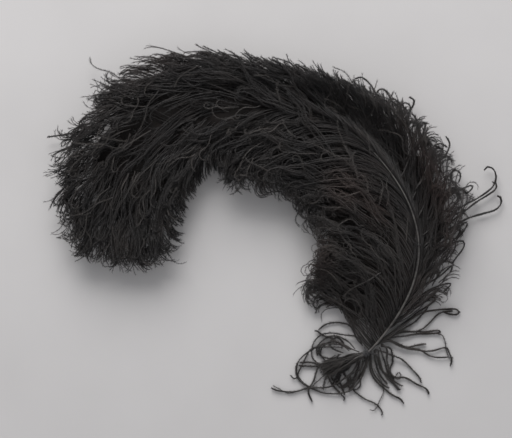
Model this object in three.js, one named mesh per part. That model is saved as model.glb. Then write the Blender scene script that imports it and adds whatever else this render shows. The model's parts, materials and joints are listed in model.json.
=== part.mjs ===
// Curled ostrich plume: three feathers laid one on another, their shafts sewn over a
// support wire, whipped with thread at the knot and wrapped in flue to make a short stem.
// It lies flat, bent into a hook, on the plane z = 0. Millimetres, +Z up.
//
// Everything is placed in plume coordinates: s runs along the spine from the knot
// (s = 0) to the tip, negative down the stem, d is the distance to the hollow side of
// the hook, and z is the height.

import * as THREE from 'three';

const { lerp, smoothstep, degToRad } = THREE.MathUtils;

// ---- Driving dimensions, millimetres and degrees ----

const SPINE_LENGTH = 541;        // along the hook's arc
const SPINE_TURN = 216;          // how far the arc turns in that length
const KNOT_HEADING = 46;         // direction of the spine at the knot, from +X
const STEM_LENGTH = 54;          // cut end of the stem to the knot
const STEM_BEND = 24.5;          // turn between the stem and the hook
const STEM_BEND_RADIUS = 30;
const SHAFT_BOW = 6.3;           // how far the shafts swing out of the arc
const BOW_START = 10;
const BOW_END = 215;

const SHAFT_WIDTH = 3.0;         // across the vanes, at the stem
const SHAFT_DEPTH = 2.6;         // through the plume, at the stem
const SHAFT_TIP = 0.8;           // both ways, at a shaft's fine end
const WIRE_DIAMETER = 1.2;
const WIRE_RUN = 300;            // along the hook from the knot
const THREAD_DIAMETER = 1.0;
const BINDING_TURNS = 7;
const WHIPPING_END = -3;         // the knot side of the whipping, along the spine
const SLEEVE_CLEARANCE = 0.4;    // between the shafts and what is bound round them
const SLEEVE_SQUARENESS = 0.75;  // 1 is an oval, less is squarer
const WRAP_WALL = 3.2;           // flue wrapped round the stem, at the sides
const WRAP_FLOOR = 1.4;          // the same wrap pressed thin above and below
const WRAP_SHOULDER = 5;         // length over which the wrap thins at the whipping
const WRAP_TOE = 4;              // and at the cut end
const BARE_STEM = 3;             // stem left uncovered at the cut end
const WIRE_SETBACK = 6;          // the wire starts this far inside the cut end

const LOFT = 40;                 // thickness of the plume where it is fullest
const TIP_LOFT = 30;
const LOFT_GROWTH = 110;         // distance from the knot to full thickness
const LOFT_FALL = 115;           // distance back from the tip where it thins
const PLUME_END = 575;           // the last barb tips, along the spine
const PARTED = 12;               // the layers lie fully apart from here outwards
const SWELL_START = 3;           // and from here the barbs puff up
const SWELL_FULL = 38;
const EDGE_START = 62;
const EDGE_END = 108;
const EDGE_THINNING = 0.5;
const FADE_START = 10;           // past a shaft's end, where its feather starts to thin
const FADE_LENGTH = 115;

const GAP = 0.3;                 // between pieces that lie on each other
const SEAT = 0.5;                // a shaft's side to the root of its vane
const LAYER_GAP = 2.4;           // between the soft layers, away from the shafts
const ROOT_START = 4;            // first barbs, from the knot
const ROOT_SWEEP = 1.5;          // barbs lean this much harder at the shaft than at the tip
const NOTCH = 6;                 // opening in the vanes where a tie passes
const TIE_PLACES = [115, 230, 345];
const FLUE_HEIGHT = 8;

const VANE_STEP = 12;            // facet length along the spine
const SHAFT_STEP = 12;
const STEM_STEP = 5;             // shorter, because the stem bends harder
const SHAFT_SIDES = 8;
const WIRE_SIDES = 6;
const SLEEVE_SIDES = 20;
const THREAD_SIDES = 6;
const VANE_FACETS = 6;           // from the shaft to the barb tips
const FLUE_FACETS = { along: 3, out: 4 };

// Each feather: where its shaft ends, how wide each vane is and how far its barbs lean
// forward. An outline row holds, as shares, a barb's root along the shaft, its lean and
// its reach.
const FEATHERS = [
  {
    name: 'under', layer: 0, shaftRun: 440, lean: 65, widths: { inner: 92, outer: 86 },
    inner: [[0, 0.05, 0.80], [0.18, 0.75, 0.98], [0.45, 0.95, 0.90], [0.68, 0.95, 0.80],
      [0.86, 0.92, 0.50], [0.97, 1.0, 0.43], [1, 1.0, 0.22]],
    outer: [[0, 0.80, 0.45], [0.12, 1.0, 0.80], [0.25, 1.0, 1.0], [0.38, 1.0, 0.66],
      [0.55, 0.92, 0.44], [0.73, 0.85, 0.68], [0.90, 0.92, 0.86], [0.97, 1.0, 0.58],
      [1, 1.0, 0.29]],
  },
  {
    name: 'middle', layer: 1, shaftRun: 510, lean: 78, widths: { inner: 95, outer: 88 },
    inner: [[0, 0.05, 0.64], [0.12, 0.52, 0.88], [0.26, 0.70, 1.0], [0.45, 0.76, 0.84],
      [0.65, 0.77, 0.65], [0.76, 0.78, 0.55], [0.85, 0.90, 0.60], [0.92, 1.0, 0.57],
      [0.97, 0.97, 0.36], [1, 0.83, 0.08]],
    outer: [[0, 0.50, 0.22], [0.12, 0.66, 0.48], [0.24, 0.66, 0.62], [0.40, 0.64, 0.50],
      [0.55, 0.70, 0.46], [0.65, 0.70, 0.78], [0.72, 0.71, 1.0], [0.80, 0.77, 0.97],
      [0.88, 0.80, 0.87], [0.94, 0.90, 0.63], [0.975, 0.90, 0.36], [1, 0.83, 0.09]],
  },
  {
    name: 'face', layer: 2, shaftRun: 340, lean: 62, widths: { inner: 103, outer: 50 },
    inner: [[0, 0.06, 0.86], [0.18, 0.72, 0.94], [0.38, 0.90, 1.0], [0.60, 1.0, 0.86],
      [0.80, 1.0, 0.87], [0.94, 1.0, 0.84], [1, 1.0, 0.50]],
    outer: [[0, 0.58, 0.32], [0.18, 0.80, 0.72], [0.32, 0.88, 0.92], [0.47, 0.90, 1.0],
      [0.68, 0.96, 0.76], [0.86, 0.96, 0.80], [1, 1.0, 1.0]],
  },
];

// Loose flue round the stem and the knot: the roots' stretch of spine, how far out they
// start and reach, and how far the tips of the first and last barbs lean.
const STEM_FLUE = { from: -50, to: -17, reach: 36, leanFirst: -14, leanLast: -14 };
const KNOT_FLUE = { from: -9.5, to: 2, reach: 58, leanFirst: -20, leanLast: 18 };

// ---- The spine ----

const spineTurn = degToRad(SPINE_TURN);
const spineRadius = SPINE_LENGTH / spineTurn;
const knotHeading = degToRad(KNOT_HEADING);
const stemBend = degToRad(STEM_BEND);
const bendLength = STEM_BEND_RADIUS * stemBend;

function headingAt(s) {
  if (s >= 0) return knotHeading + s / spineRadius;
  return knotHeading - Math.min(-s / STEM_BEND_RADIUS, stemBend);
}

// A point on an arc that starts at `start` with `heading`, after a run s.
function arcPoint(start, heading, radius, s) {
  const turned = heading + s / radius;
  return new THREE.Vector2(
    start.x + radius * (Math.sin(turned) - Math.sin(heading)),
    start.y - radius * (Math.cos(turned) - Math.cos(heading)),
  );
}

function spinePoint(s) {
  const knot = new THREE.Vector2(0, 0);
  if (s >= 0) return arcPoint(knot, knotHeading, spineRadius, s);
  const inBend = Math.max(s, -bendLength);
  const point = arcPoint(knot, knotHeading, STEM_BEND_RADIUS, inBend);
  const straight = s - inBend;
  const heading = headingAt(-bendLength);
  return point.add(new THREE.Vector2(Math.cos(heading), Math.sin(heading)).multiplyScalar(straight));
}

function place(s, d, z) {
  const point = spinePoint(s);
  const heading = headingAt(s);
  return new THREE.Vector3(point.x - d * Math.sin(heading), point.y + d * Math.cos(heading), z);
}

function bowAt(s) {
  const share = THREE.MathUtils.clamp((s - BOW_START) / (BOW_END - BOW_START), 0, 1);
  return -SHAFT_BOW * Math.sin(Math.PI * share) ** 2;
}

// ---- Thicknesses ----

const longestRun = Math.max(...FEATHERS.map((feather) => feather.shaftRun));

// A shaft's width or depth: full along the stem, then tapering to its own fine end.
function taperAt(size, s, run) {
  return lerp(size, SHAFT_TIP, THREE.MathUtils.clamp(s / run, 0, 1));
}

function pitchAt(s) {
  return taperAt(SHAFT_DEPTH, s, longestRun) + GAP;
}

function stackTop(s) {
  return 1.5 * pitchAt(s);
}

// Down from the middle of the stack to the underside of the wire.
function stackBottom(s) {
  return stackTop(s) + WIRE_DIAMETER + GAP;
}

const stemLoft = 2 * (stackBottom(0) + SLEEVE_CLEARANCE + WRAP_FLOOR);

function loftAt(s) {
  const grown = lerp(stemLoft, LOFT, smoothstep(s, 0, LOFT_GROWTH));
  return grown - (LOFT - TIP_LOFT) * smoothstep(s, PLUME_END - LOFT_FALL, PLUME_END);
}

function swellAt(d) {
  const out = Math.abs(d);
  const rise = smoothstep(out, SWELL_START, SWELL_FULL);
  return rise * (1 - EDGE_THINNING * smoothstep(out, EDGE_START, EDGE_END));
}

// The share of the plume's thickness below a layer's floor. A feather thins out at its
// own end, and the one that runs on takes its room.
function floorShare(layer, s) {
  const [under, , face] = FEATHERS.map((feather) => feather.shaftRun + FADE_START);
  const fadeUnder = smoothstep(s, under, under + FADE_LENGTH);
  const fadeFace = smoothstep(s, face, face + FADE_LENGTH);
  return [0, (1 - fadeUnder) / 3, 1 - (1 - fadeFace) / 3, 1][layer];
}

function layerFloor(layer, s, d) {
  const half = lerp(stackTop(s), loftAt(s) / 2, swellAt(d));
  return loftAt(s) / 2 + (2 * floorShare(layer, s) - 1) * half;
}

// ---- Shapes ----

// Moves every vertex of a closed geometry to the place that `shape` gives it.
function remap(geometry, shape) {
  const position = geometry.getAttribute('position');
  const vertex = new THREE.Vector3();
  for (let i = 0; i < position.count; i += 1) {
    vertex.fromBufferAttribute(position, i);
    const moved = shape(vertex);
    position.setXYZ(i, moved.x, moved.y, moved.z);
  }
  geometry.computeVertexNormals();
  return geometry;
}

// The runs along the spine where a rod's facets meet.
function stations(from, to) {
  const runs = [];
  for (let s = from; s < to - STEM_STEP; s += s < ROOT_START ? STEM_STEP : SHAFT_STEP) runs.push(s);
  return [...runs, to];
}

// A rod that follows the spine between two runs, with its own half width, half depth
// and height.
function rod(from, to, halfWidth, halfDepth, heightAt, sides) {
  const runs = stations(from, to);
  const steps = runs.length - 1;
  const blank = new THREE.CylinderGeometry(1, 1, 1, sides, steps);
  return remap(blank, ({ x, y, z }) => {
    const s = runs[Math.round((y + 0.5) * steps)];
    return place(s, bowAt(s) + x * halfWidth(s), heightAt(s) - z * halfDepth(s));
  });
}

// A sleeve round the stacked shafts. Its profile is a closed list of [s, out] points,
// where out is measured from the clearance outline; it may be wider at the sides. The
// list runs up the tip end, back towards the stem and down, and is turned round here.
function sleeve(profile, sideWall) {
  const points = profile.map(([s, out]) => new THREE.Vector2(1 + out, s)).reverse();
  const blank = new THREE.LatheGeometry(points, SLEEVE_SIDES);
  return remap(blank, ({ x, y, z }) => {
    const s = y;
    const out = Math.hypot(x, z) - 1;
    const angle = Math.atan2(x, z);
    const across = Math.sign(x) * Math.abs(Math.sin(angle)) ** SLEEVE_SQUARENESS;
    const up = Math.sign(z) * Math.abs(Math.cos(angle)) ** SLEEVE_SQUARENESS;
    const halfWidth = taperAt(SHAFT_WIDTH, s, longestRun) / 2 + SLEEVE_CLEARANCE + out * sideWall;
    const halfHeight = (stackTop(s) + stackBottom(s)) / 2 + SLEEVE_CLEARANCE + out;
    const centre = loftAt(s) / 2 + (stackTop(s) - stackBottom(s)) / 2;
    return place(s, bowAt(s) + across * halfWidth, centre - up * halfHeight);
  });
}

// Half a vane's outline: for a root at run s, how far the barb leans and reaches.
function outlineOf(feather, side) {
  const rows = feather[side];
  const roots = rows.map((row) => lerp(ROOT_START, feather.shaftRun, row[0]));
  const shape = new THREE.CubicInterpolant(roots, rows.flatMap((row) => row.slice(1)), 2);
  return (root) => {
    const [lean, reach] = shape.evaluate(root);
    return { lean: lean * feather.lean, reach: reach * feather.widths[side] };
  };
}

// One stretch of a vane, from the shaft to the barb tips, as a soft block.
function vane(feather, side, from, to) {
  const outline = outlineOf(feather, side);
  const sign = side === 'inner' ? 1 : -1;
  const lengthwise = Math.ceil((to - from) / VANE_STEP);
  const blank = new THREE.BoxGeometry(1, 1, 1, lengthwise, VANE_FACETS, 1);
  return remap(blank, ({ x, y, z }) => {
    const root = lerp(from, to, x + 0.5);
    const out = sign * y + 0.5;
    const { lean, reach } = outline(root);
    const s = root + lean * out * lerp(ROOT_SWEEP, 1, out);
    const seat = taperAt(SHAFT_WIDTH, root, feather.shaftRun) / 2 + SEAT;
    const d = lerp(bowAt(root) + sign * seat, sign * reach, out);
    const inset = lerp(GAP, LAYER_GAP, smoothstep(Math.abs(d), 0, PARTED)) / 2;
    const low = layerFloor(feather.layer, s, d) + (feather.layer === 0 ? 0 : inset);
    const high = layerFloor(feather.layer + 1, s, d) - (feather.layer === 2 ? 0 : inset);
    return place(s, d, lerp(low, high, z + 0.5));
  });
}

// Loose flue lying beside the stem or the knot, thinner towards its tips.
function flue({ from, to, reach, leanFirst, leanLast }, side, start) {
  const sign = side === 'inner' ? 1 : -1;
  const blank = new THREE.BoxGeometry(1, 1, 1, FLUE_FACETS.along, FLUE_FACETS.out, 1);
  return remap(blank, ({ x, y, z }) => {
    const root = lerp(from, to, x + 0.5);
    const out = sign * y + 0.5;
    const s = root + lerp(leanFirst, leanLast, x + 0.5) * out;
    const d = sign * lerp(start, reach, out);
    return place(s, d, (z + 0.5) * lerp(FLUE_HEIGHT, FLUE_HEIGHT / 2, out));
  });
}

// ---- Finishes ----

function finish(color, roughness, metalness = 0) {
  return { color, roughness, metalness };
}

const FINISHES = {
  vane: finish('#201e1f', 0.85),
  lowerVane: finish('#2b2624', 0.85),
  shaft: finish('#4a4845', 0.45),
  wire: finish('#1c1b1b', 0.5, 0.3),
  thread: finish('#171617', 0.9),
  flue: finish('#252122', 0.9),
};

const plume = new THREE.Group();

function add(name, geometry, look) {
  const mesh = new THREE.Mesh(geometry, new THREE.MeshStandardMaterial(look));
  mesh.name = name;
  plume.add(mesh);
}

// ---- Shafts and the wire under them ----

for (const { name, layer, shaftRun } of FEATHERS) {
  const halfWidth = (s) => taperAt(SHAFT_WIDTH, s, shaftRun) / 2;
  const halfDepth = (s) => taperAt(SHAFT_DEPTH, s, shaftRun) / 2;
  const height = (s) => loftAt(s) / 2 + (layer - 1) * pitchAt(s);
  add(`${name}_shaft`, rod(-STEM_LENGTH, shaftRun, halfWidth, halfDepth, height, SHAFT_SIDES),
    FINISHES.shaft);
}

const wireRadius = () => WIRE_DIAMETER / 2;
const wireHeight = (s) => loftAt(s) / 2 - stackBottom(s) + WIRE_DIAMETER / 2;
const wireStart = WIRE_SETBACK - STEM_LENGTH;
add('support_wire', rod(wireStart, WIRE_RUN, wireRadius, wireRadius, wireHeight, WIRE_SIDES),
  FINISHES.wire);

// ---- Vanes ----

const STRETCH_NAMES = ['lower', 'middle', 'upper', 'tip'];

for (const feather of FEATHERS) {
  const breaks = TIE_PLACES.filter((tie) => tie < feather.shaftRun - NOTCH);
  const edges = [ROOT_START - NOTCH / 2, ...breaks, feather.shaftRun + NOTCH / 2];
  for (const side of ['inner', 'outer']) {
    for (let i = 0; i < edges.length - 1; i += 1) {
      const look = i === 0 ? FINISHES.lowerVane : FINISHES.vane;
      const geometry = vane(feather, side, edges[i] + NOTCH / 2, edges[i + 1] - NOTCH / 2);
      add(`${feather.name}_${side}_vane_${STRETCH_NAMES[i]}`, geometry, look);
    }
  }
}

// ---- Thread ----

// A thread's cross-section at run s, as a closed sleeve profile.
function threadProfile(s) {
  const radius = THREAD_DIAMETER / 2;
  const points = [];
  for (let i = 0; i <= THREAD_SIDES; i += 1) {
    const angle = (i / THREAD_SIDES) * 2 * Math.PI;
    points.push([s + radius * Math.cos(angle), radius * (1 + Math.sin(angle))]);
  }
  return points;
}

TIE_PLACES.forEach((tie, i) => {
  add(`thread_tie_${i + 1}`, sleeve(threadProfile(tie), 1), FINISHES.thread);
});

// The knot's whipping: turns of thread that touch, as one ribbed sleeve.
function whippingProfile(end, turns) {
  const start = end - turns * THREAD_DIAMETER;
  const points = [[end, 0], [end, THREAD_DIAMETER / 2]];
  for (let i = turns - 1; i >= 0; i -= 1) {
    points.push([start + (i + 0.5) * THREAD_DIAMETER, THREAD_DIAMETER]);
    points.push([start + i * THREAD_DIAMETER, THREAD_DIAMETER / 2]);
  }
  points.push([start, 0], [end, 0]);
  return points;
}

const whippingStart = WHIPPING_END - BINDING_TURNS * THREAD_DIAMETER;
add('knot_whipping', sleeve(whippingProfile(WHIPPING_END, BINDING_TURNS), 1), FINISHES.thread);

// ---- Flue ----

const wrapEnd = whippingStart - GAP;
const wrapStart = BARE_STEM - STEM_LENGTH;
const wrapEdge = WRAP_FLOOR / 2;
const wrapProfile = [
  [wrapEnd, 0], [wrapEnd, wrapEdge], [wrapEnd - WRAP_SHOULDER, WRAP_FLOOR],
  [wrapStart + WRAP_TOE, WRAP_FLOOR], [wrapStart, wrapEdge], [wrapStart, 0], [wrapEnd, 0],
];
add('stem_wrap', sleeve(wrapProfile, WRAP_WALL / WRAP_FLOOR), FINISHES.flue);

const wrapSide = SHAFT_WIDTH / 2 + SLEEVE_CLEARANCE + WRAP_WALL + SEAT;
const knotSide = SHAFT_WIDTH / 2 + SLEEVE_CLEARANCE + THREAD_DIAMETER + SEAT;
add('stem_flue_inner', flue(STEM_FLUE, 'inner', wrapSide), FINISHES.flue);
add('stem_flue_outer', flue(STEM_FLUE, 'outer', wrapSide), FINISHES.flue);
add('knot_flue', flue(KNOT_FLUE, 'outer', knotSide), FINISHES.flue);

// The origin is under the middle of the plume, on the surface that it lies on.
const box = new THREE.Box3().setFromObject(plume);
const middle = box.getCenter(new THREE.Vector3());
plume.position.set(-middle.x, -middle.y, -box.min.z);

export default plume;
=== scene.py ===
import json
import logging
import math
from dataclasses import dataclass, field
from enum import Enum

import bmesh
import bpy
import numpy as np
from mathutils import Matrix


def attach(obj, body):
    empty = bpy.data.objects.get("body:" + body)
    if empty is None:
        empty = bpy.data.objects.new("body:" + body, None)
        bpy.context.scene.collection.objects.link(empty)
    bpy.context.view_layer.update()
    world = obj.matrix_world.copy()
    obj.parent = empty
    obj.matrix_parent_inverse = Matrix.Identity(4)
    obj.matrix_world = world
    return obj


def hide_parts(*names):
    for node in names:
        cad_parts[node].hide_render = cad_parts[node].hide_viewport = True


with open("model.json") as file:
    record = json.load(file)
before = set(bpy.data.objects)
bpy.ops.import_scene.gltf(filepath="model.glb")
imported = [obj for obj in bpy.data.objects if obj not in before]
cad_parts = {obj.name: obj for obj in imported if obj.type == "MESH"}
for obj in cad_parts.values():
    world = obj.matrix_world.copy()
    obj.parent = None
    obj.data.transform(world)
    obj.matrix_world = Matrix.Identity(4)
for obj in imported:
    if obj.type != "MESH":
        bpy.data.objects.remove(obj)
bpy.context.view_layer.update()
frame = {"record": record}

# A curled ostrich plume: three feathers laid one on another, every barb and barbule a
# closed piece of geometry. Lengths inside the classes are millimetres; meshes are
# written in metres. s runs along the spine from the knot, d towards the hollow of the
# hook, z up.

MM = 0.001
BODY = "root"
MOUNT_OFF_CENTRE = 0.352  # the stem's mount lies this far to the hollow side of its centre
SEED = 20
VIEW_CENTRE = (-116.0, 131.0)  # what the camera looks at, in plan from the knot
CURL_TIGHTENING = 1.35
CLUMP_TAPER = 0.9
CLUMP_CHANCE = (0.75, 1.15)

log = logging.getLogger("plume")
Array = np.ndarray


class Side(Enum):
    """The two sides of a feather's shaft."""

    INNER = "inner"
    OUTER = "outer"

    @property
    def sign(self) -> float:
        """+1 towards the hollow of the hook, -1 away from it."""
        return 1.0 if self is Side.INNER else -1.0


def smoothstep(value: Array, low: float, high: float) -> Array:
    """Rises smoothly from 0 at low to 1 at high."""
    share = np.clip((value - low) / (high - low), 0.0, 1.0)
    return share * share * (3.0 - 2.0 * share)


def plateau(value: Array, rise: tuple[float, float], fall: tuple[float, float]) -> Array:
    """Rises from 0 to 1 over one pair of limits and falls back to 0 over another."""
    return smoothstep(value, *rise) * (1 - smoothstep(value, *fall))


def linear(hex_colour: str) -> tuple[float, float, float, float]:
    """Turns an sRGB hex colour into the linear RGBA that a shader takes."""
    channels = [int(hex_colour[i : i + 2], 16) / 255 for i in (1, 3, 5)]
    curve = [c / 12.92 if c <= 0.04045 else ((c + 0.055) / 1.055) ** 2.4 for c in channels]
    return (curve[0], curve[1], curve[2], 1.0)


# ---- The plume's shape ----


@dataclass(frozen=True)
class Spine:
    """The line that all shafts follow: a straight stem, a short bend, then one long arc."""

    stem_end: tuple[float, float]
    stem_heading: float
    stem_length: float = 54.0
    bend_radius: float = 30.0
    bend_turn: float = math.radians(24.5)
    arc_length: float = 541.0
    arc_turn: float = math.radians(216.0)
    bow: float = 6.3
    bow_start: float = 10.0
    bow_end: float = 215.0

    @property
    def radius(self) -> float:
        """Radius of the long arc."""
        return self.arc_length / self.arc_turn

    @property
    def knot_heading(self) -> float:
        """Direction of the spine at the knot."""
        return self.stem_heading + self.bend_turn

    @property
    def bend_length(self) -> float:
        """Length of the bend below the knot."""
        return self.bend_radius * self.bend_turn

    def _arc(self, radius: float, run: Array) -> Array:
        """Points of an arc through the knot, relative to the knot."""
        start = self.knot_heading
        turned = start + run / radius
        across = radius * (np.sin(turned) - math.sin(start))
        up = -radius * (np.cos(turned) - math.cos(start))
        return np.stack([across, up], axis=-1)

    @property
    def knot(self) -> Array:
        """The knot, where the stem's bend meets the hook."""
        along = np.array([math.cos(self.stem_heading), math.sin(self.stem_heading)])
        straight = self.stem_length - self.bend_length
        bend = self._arc(self.bend_radius, np.array(-self.bend_length))
        return np.array(self.stem_end) + along * straight - bend

    @property
    def centre(self) -> Array:
        """Centre of the long arc."""
        heading = self.knot_heading
        return self.knot + self.radius * np.array([-math.sin(heading), math.cos(heading)])

    def heading(self, s: Array) -> Array:
        """Direction of the spine at run s, in radians from +X."""
        s = np.asarray(s, dtype=float)
        below = self.knot_heading - np.minimum(-s / self.bend_radius, self.bend_turn)
        return np.where(s >= 0, self.knot_heading + s / self.radius, below)

    def place(self, s: Array, d: Array) -> Array:
        """Plan position of plume coordinates.

        Args:
            s: Run along the spine.
            d: Distance to the hollow side.

        Returns:
            Positions with X and Y in the last axis.
        """
        s = np.asarray(s, dtype=float)
        in_bend = np.clip(s, -self.bend_length, 0.0)
        along = np.array([math.cos(self.stem_heading), math.sin(self.stem_heading)])
        straight = np.minimum(s + self.bend_length, 0.0)[..., None] * along
        below = self._arc(self.bend_radius, in_bend) + straight
        point = self.knot + np.where((s >= 0)[..., None], self._arc(self.radius, s), below)
        heading = self.heading(s)
        normal = np.stack([-np.sin(heading), np.cos(heading)], axis=-1)
        return point + np.asarray(d, dtype=float)[..., None] * normal

    def locate(self, xy: Array) -> tuple[Array, Array]:
        """Run s and distance d of plan positions, read off the long arc."""
        away = xy - self.centre
        angle = np.arctan2(away[..., 1], away[..., 0])
        first = self.knot_heading - math.pi / 2
        turn = np.mod(angle - first + math.pi / 2, 2 * math.pi) - math.pi / 2
        return turn * self.radius, self.radius - np.hypot(away[..., 0], away[..., 1])

    def bow_at(self, s: Array) -> Array:
        """How far the shafts swing out of the long arc."""
        share = np.clip((s - self.bow_start) / (self.bow_end - self.bow_start), 0.0, 1.0)
        return -self.bow * np.sin(math.pi * share) ** 2


@dataclass(frozen=True)
class Loft:
    """How thick the plume is, and at what height its shafts and layers lie."""

    stem: float = 15.3
    full: float = 40.0
    tip: float = 30.0
    growth: float = 110.0
    fall: float = 115.0
    end: float = 575.0
    shaft_depth: float = 2.6
    shaft_tip: float = 0.8
    longest: float = 510.0
    gap: float = 0.3
    floor_clearance: float = 0.5
    shoulder: float = 30.0
    edge: tuple[float, float] = (60.0, 112.0)
    edge_fall: float = 0.5
    closing: tuple[float, float] = (185.0, 290.0)
    closing_share: float = 0.85
    valley_depth: float = 17.0
    valley_across: tuple[tuple[float, float], tuple[float, float]] = ((4.0, 13.0), (22.0, 40.0))
    valley_along: tuple[tuple[float, float], tuple[float, float]] = ((55.0, 120.0), (260.0, 320.0))

    def thickness(self, s: Array) -> Array:
        """Full thickness of the plume at run s."""
        grown = self.stem + (self.full - self.stem) * smoothstep(s, 0.0, self.growth)
        return grown - (self.full - self.tip) * smoothstep(s, self.end - self.fall, self.end)

    def pitch(self, s: Array) -> Array:
        """Height from one stacked shaft to the next."""
        share = np.clip(s / self.longest, 0.0, 1.0)
        return self.shaft_depth + (self.shaft_tip - self.shaft_depth) * share + self.gap

    def shaft_height(self, layer: int, s: Array) -> Array:
        """Height of the middle of a layer's shaft."""
        return self.thickness(s) / 2 + (layer - 1) * self.pitch(s)

    def height(self, s: Array, d: Array, share: Array) -> Array:
        """Height inside the fluffed plume, share 0 at its underside and 1 on top."""
        out = np.abs(d)
        falling = 1.0 - self.edge_fall * smoothstep(out, *self.edge)
        closed = self.closing_share * smoothstep(s, *self.closing) * (share > 0.5)
        swell = np.maximum(smoothstep(out, 0.0, self.shoulder) * falling, closed * falling)
        half = 1.5 * self.pitch(s) * (1.0 - swell) + self.thickness(s) / 2 * swell
        level = self.thickness(s) / 2 - self._valley(s, d)
        return np.maximum(level + (2.0 * share - 1.0) * half, self.floor_clearance)

    def _valley(self, s: Array, d: Array) -> Array:
        """How far the outer vane drops away just beside the shaft."""
        across = plateau(-d, *self.valley_across)
        return self.valley_depth * across * plateau(s, *self.valley_along)


@dataclass(frozen=True)
class Outline:
    """How far barb tips reach on either side of the spine."""

    inner: tuple[tuple[float, float], ...] = (
        (-35, 14), (-15, 55), (-2, 86), (20, 90), (60, 89), (100, 92), (140, 92), (180, 94),
        (220, 91), (260, 82), (300, 80), (360, 80), (380, 78), (390, 72), (396, 46), (402, 38),
        (420, 38), (460, 42), (520, 48), (546, 47), (560, 32), (570, 0),
    )
    outer: tuple[tuple[float, float], ...] = (
        (-35, -12), (0, -24), (20, -10), (40, -14), (60, -27), (80, -32), (100, -36),
        (120, -44), (140, -58), (160, -56), (180, -52), (200, -48), (220, -53), (240, -44),
        (280, -37), (320, -40), (340, -45), (360, -55), (380, -67), (400, -74), (420, -82),
        (440, -78), (480, -83), (500, -77), (520, -69), (540, -56), (556, -38), (570, 0),
    )
    root_points: int = 3  # a line's first points are never cut off

    def reach(self, s: Array) -> tuple[Array, Array]:
        """The outer and inner limits at runs s."""
        return np.interp(s, *zip(*self.outer)), np.interp(s, *zip(*self.inner))

    def trimmed(self, body: Array, spine: Spine, margin: Array) -> Array:
        """Lines cut off where they leave the outline.

        Args:
            body: Plan lines, shape (lines, points, 2).
            spine: The spine they are measured from.
            margin: How far beyond the outline each line may go.

        Returns:
            The lines, with as many points as before.
        """
        s, d = spine.locate(body)
        low, high = self.reach(s)
        outside = (d < low - margin[:, None]) | (d > high + margin[:, None])
        outside |= s > self.outer[-1][0] + margin[:, None]
        outside[:, : self.root_points] = False
        points = body.shape[1]
        cut = np.where(outside.any(axis=1), outside.argmax(axis=1) - 0.5, points - 1.0)
        at = np.linspace(0, 1, points)[None, :] * cut[:, None]
        cell = np.minimum(at.astype(int), points - 2)
        part = (at - cell)[..., None]
        row = np.arange(len(body))[:, None]
        return body[row, cell] * (1 - part) + body[row, cell + 1] * part


# ---- Barbs ----


@dataclass
class Barbs:
    """A set of barbs to grow, one array entry for each barb. Angles are in degrees."""

    root_s: Array
    root_d: Array
    tip_s: Array
    tip_d: Array
    root_angle: Array
    tip_angle: Array
    curl: Array
    curl_length: Array
    root_z: Array
    layer_share: Array
    width: Array
    wave: Array
    lift: Array
    clump: Array
    margin: Array

    def chosen(self, keep: Array) -> "Barbs":
        """The barbs that a mask keeps."""
        return Barbs(**{name: values[keep] for name, values in vars(self).items()})


def curled(body: Array, curl: Array, length: Array, steps: int) -> Array:
    """The curl that carries each line on past its end, tighter as it goes.

    Args:
        body: Plan lines, shape (lines, points, 2).
        curl: How far each one turns in all, in degrees.
        length: How long each curl is.
        steps: Points in a curl.

    Returns:
        The curls' points, shape (lines, steps, 2).
    """
    last = body[:, -1] - body[:, -2]
    heading = np.arctan2(last[:, 1], last[:, 0])[:, None]
    share = np.linspace(0.0, 1.0, steps + 1)[None, :]
    turned = heading + np.radians(curl)[:, None] * share**CURL_TIGHTENING
    middle = (turned[:, 1:] + turned[:, :-1]) / 2
    step = (length / steps)[:, None]
    moves = np.stack([np.cos(middle) * step, np.sin(middle) * step], axis=-1)
    return body[:, -1:] + np.cumsum(moves, axis=1)


def drawn_together(body: Array, clump: Array, firmness: Array, rng: np.random.Generator) -> Array:
    """Draws neighbours together towards their tips, as dressed barbs lie.

    Args:
        body: Plan lines, shape (lines, points, 2).
        clump: The clump that each line belongs to.
        firmness: How much of the distance between them each line loses, from 0 to 1.
        rng: The seeded source of chance.

    Returns:
        The lines, moved.
    """
    along = np.linspace(0.0, 1.0, body.shape[1]) ** CLUMP_TAPER
    pull = firmness[:, None, None] * along[None, :, None]
    total = np.zeros((clump.max() + 1, *body.shape[1:]))
    np.add.at(total, clump, body)
    sizes = np.bincount(clump)[:, None, None]
    middle = (total / np.maximum(sizes, 1))[clump]
    own = rng.uniform(*CLUMP_CHANCE, len(sizes))[clump][:, None, None]
    return body + (middle - body) * np.minimum(pull * own, 1.0)


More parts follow.
